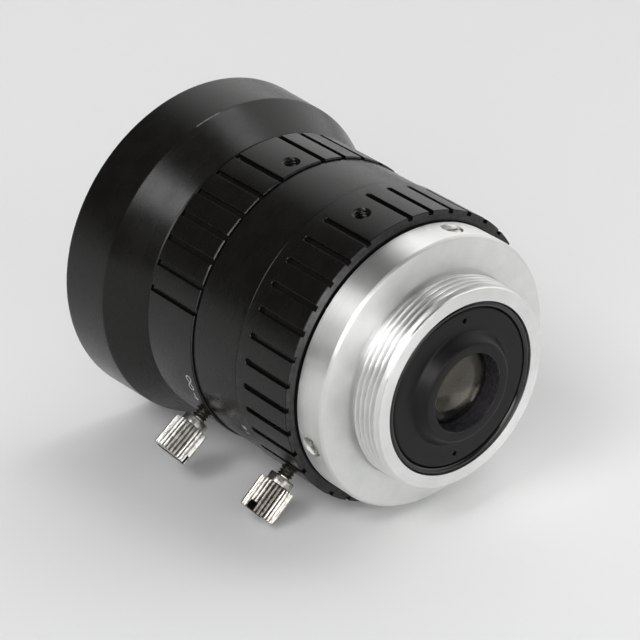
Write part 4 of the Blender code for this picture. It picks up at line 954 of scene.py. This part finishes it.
# The painted marks: an arrow and the sign for far away on the focus ring, a tick and a figure by the iris ring

marks = {
    "lineWidth": 0.13, "thickness": 0.012, "sunk": 0.006, "dark": (0.42, 0.42, 0.41), "light": (0.68, 0.68, 0.66),
    "focus": {"radius": 18.37, "turn": -119.0, "station": 27.65, "size": 0.95, "body": "focus_control"},
    "iris": {"radius": 18.1, "turn": -121.5, "station": 18.95, "size": 0.85, "body": "barrel"},
    "signAt": 3.0, "signSteps": 48,
    "arrow": [[(0.05, 0), (0.7, 0), (1.35, 0)], [(0.5, 0.36), (0.25, 0.18), (0.0, 0.0), (0.25, -0.18), (0.5, -0.36)]],
    "tick": [(0, -0.55), (0, 0), (0, 0.25)], "figureAt": (0.6, -0.4),
    "figure": [(0.62, 0.0), (0.62, 0.5), (0.62, 1.0), (0.3, 0.65), (0.0, 0.32), (0.5, 0.32), (0.9, 0.32)]}

finishes["whitePaint"], paintTree, paintShader = newMaterial("whitePaint")
patches = addNode(paintTree, "TexNoise", {"Scale": 6000, "Detail": 3}).outputs["Fac"]
setInputs(paintTree, paintShader, {
    "Base Color": toneRamp(paintTree, patches, marks["dark"], marks["light"], (0.35, 0.6)), "Roughness": 0.5})


def addStroke(bm, spot, points, closed=False):
    # a painted line on a turned surface; points are (round the ring, towards the hood)
    half, low, high = marks["lineWidth"] / 2, -marks["sunk"], marks["thickness"]
    rows = []
    for i, (u, v) in enumerate(points):
        before = points[i - 1] if i or closed else points[i]
        after = points[(i + 1) % len(points)] if i < len(points) - 1 or closed else points[i]
        along = Vector((after[0] - before[0], after[1] - before[1])).normalized()
        row = []
        for side, lift in ((-1, low), (1, low), (1, high), (-1, high)):
            turn = spot["turn"] + math.degrees((u - along.y * side * half) / spot["radius"])
            row.append(place(turn, spot["radius"] + lift, spot["station"] + v + along.x * side * half))
        rows.append(row)
    if closed:
        bridge(bm, rows, True)
    else:
        closedBlock(bm, rows)


def farSign(size):
    # the sideways eight
    points = []
    for k in range(marks["signSteps"]):
        t = 2 * math.pi * k / marks["signSteps"]
        squeeze = 1 + 0.6 * math.sin(t) ** 2
        points.append((marks["signAt"] + size * 1.15 * math.cos(t) / squeeze,
                       size * 1.1 * math.sin(t) * math.cos(t) / squeeze))
    return points


spot = marks["focus"]
bm = bmesh.new()
addStroke(bm, spot, farSign(spot["size"]), True)
for stroke in marks["arrow"]:
    addStroke(bm, spot, stroke)
addPiece("focusMark", meshFrom("focusMark", bm), ["whitePaint"], spot["body"])
spot = marks["iris"]
bm = bmesh.new()
addStroke(bm, spot, marks["tick"])
addStroke(bm, spot, [(x * spot["size"] + marks["figureAt"][0], y * spot["size"] + marks["figureAt"][1])
                     for x, y in marks["figure"]])
addPiece("irisMark", meshFrom("irisMark", bm), ["whitePaint"], spot["body"])
print("marks made")


# The inner pieces that keep their own solids

innerFinishes = {
    "rear_spacer": "innerBlack", "rear_group_ring": "innerBlack", "focus_retaining_ring": "mattBlack",
    "focus_guide_pin": "pinSteel", "iris_base_plate": "innerBlack", "iris_cover_ring": "innerBlack",
    "iris_cam_ring": "mattBlack", "iris_drive_pin": "pinSteel", "focus_drive_pin": "pinSteel",
    "front_spacer": "innerBlack", "front_group_ring": "innerBlack"}
innerFinishes.update(("iris_blade_%d" % (index + 1), "bladeSteel") for index in range(6))
for name, coat in innerFinishes.items():
    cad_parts[name].data.materials.clear()
    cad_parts[name].data.materials.append(finishes[coat])
print("inner pieces finished")


# Floor, light and camera

studio = {
    "floorTilt": 3.84, "floorTouchY": -23.9, "floorColour": (0.86, 0.87, 0.865), "floorGlow": 0.035,
    "floorSides": 96, "white": (1.0, 1.0, 0.99),
    "sweep": [(0.0, 0.0), (2.0, 0.0), (4.0, 0.0), (6.0, 0.0), (6.6, 0.03), (7.2, 0.12), (7.8, 0.28), (8.4, 0.52),
              (9.0, 0.84), (9.6, 1.24), (10.0, 1.6)],
    "roomDim": 0.11,
    "walls": [{"towards": (-0.85, -0.2, 0.5), "range": (0.5, 0.88), "light": 1.15},
              {"towards": (0.13, 0.98, 0.12), "range": (0.84, 0.99), "light": 3.0}],
    "lampTarget": (0, 0, 0.02), "lampDistance": 1.5,
    "lamps": {"key": {"from": (0.66, 0.10, 0.74), "size": 0.54, "light": 6.6},
              "top": {"from": (-0.35, -0.06, 0.93), "size": 0.48, "light": 2.7},
              "side": {"from": (0.68, 0.60, 0.42), "size": 0.8, "light": 4.3}},
    "cameraAt": (0.1948, 0.220825, 0.1751), "cameraLens": 157.5, "cameraRight": (-0.76627, 0.64107, 0.04313),
    "cameraUp": (-0.27069, -0.38296, 0.88322), "cameraBack": (0.58272, 0.66511, 0.46698)}


def floorRow(radius, rise):
    # the floor rises only towards the hood's side
    sides = studio["floorSides"]
    angles = [2 * math.pi * k / sides for k in range(sides if radius else 1)]
    return [Vector((math.cos(a) * radius, math.sin(a) * radius, rise * (0.5 - 0.5 * math.sin(a)) ** 3)) for a in angles]


bm = bmesh.new()
bridge(bm, [floorRow(radius, rise) for radius, rise in studio["sweep"]], False)
floorMesh = meshFrom("floor", bm)
floorMesh.shade_smooth()
floor = bpy.data.objects.new("floor", floorMesh)
floor.location = (0, studio["floorTouchY"] / 1000, 0)
floor.rotation_euler = (math.radians(studio["floorTilt"]), 0, 0)
bpy.context.scene.collection.objects.link(floor)
floorPaint, floorTree, floorShader = newMaterial("floorPaint")
rays = addNode(floorTree, "LightPath", {}).outputs
seen = rays["Is Camera Ray"]
for other in ("Is Glossy Ray", "Is Transmission Ray"):
    seen = addNode(floorTree, "Math", {0: seen, 1: rays[other]}, operation="MAXIMUM").outputs[0]
glow = addNode(floorTree, "Math", {0: seen, 1: studio["floorGlow"]}, operation="MULTIPLY").outputs[0]
setInputs(floorTree, floorShader, {
    "Base Color": (*studio["floorColour"], 1), "Roughness": 0.7, "Specular IOR Level": 0.1,
    "Emission Color": (*studio["white"], 1), "Emission Strength": glow})
floorMesh.materials.append(floorPaint)

world = bpy.data.worlds.new("studio")
bpy.context.scene.world = world
world.use_nodes = True
worldTree = world.node_tree
direction = addNode(worldTree, "TexCoord", {}).outputs["Generated"]
light = studio["roomDim"]
for wall in studio["walls"]:
    facing = addNode(worldTree, "VectorMath", {0: direction, 1: Vector(wall["towards"]).normalized()},
                     operation="DOT_PRODUCT").outputs["Value"]
    lit = spread(worldTree, facing, wall["range"], (0, wall["light"]), interpolation_type="SMOOTHSTEP")
    light = addNode(worldTree, "Math", {0: lit, 1: light}, operation="ADD").outputs[0]
setInputs(worldTree, worldTree.nodes["Background"], {"Color": (*studio["white"], 1), "Strength": light})

for name, lamp in studio["lamps"].items():
    area = bpy.data.lights.new(name, "AREA")
    area.shape = "SQUARE"
    area.size = lamp["size"]
    area.energy = lamp["light"] * math.pi * lamp["size"] ** 2
    holder = bpy.data.objects.new(name, area)
    back = Vector(lamp["from"]).normalized()
    holder.location = Vector(studio["lampTarget"]) + back * studio["lampDistance"]
    holder.rotation_euler = back.to_track_quat("Z", "Y").to_euler()
    bpy.context.scene.collection.objects.link(holder)

cameraData = bpy.data.cameras.new("camera")
cameraData.lens = studio["cameraLens"]
cameraData.sensor_width = 36
cameraData.clip_start = 0.01
camera = bpy.data.objects.new("camera", cameraData)
axes = Matrix((studio["cameraRight"], studio["cameraUp"], studio["cameraBack"])).transposed()
camera.rotation_euler = axes.to_euler()
camera.location = studio["cameraAt"]
bpy.context.scene.collection.objects.link(camera)
bpy.context.scene.camera = camera
bpy.context.scene.view_settings.view_transform = "Standard"
print("studio made")
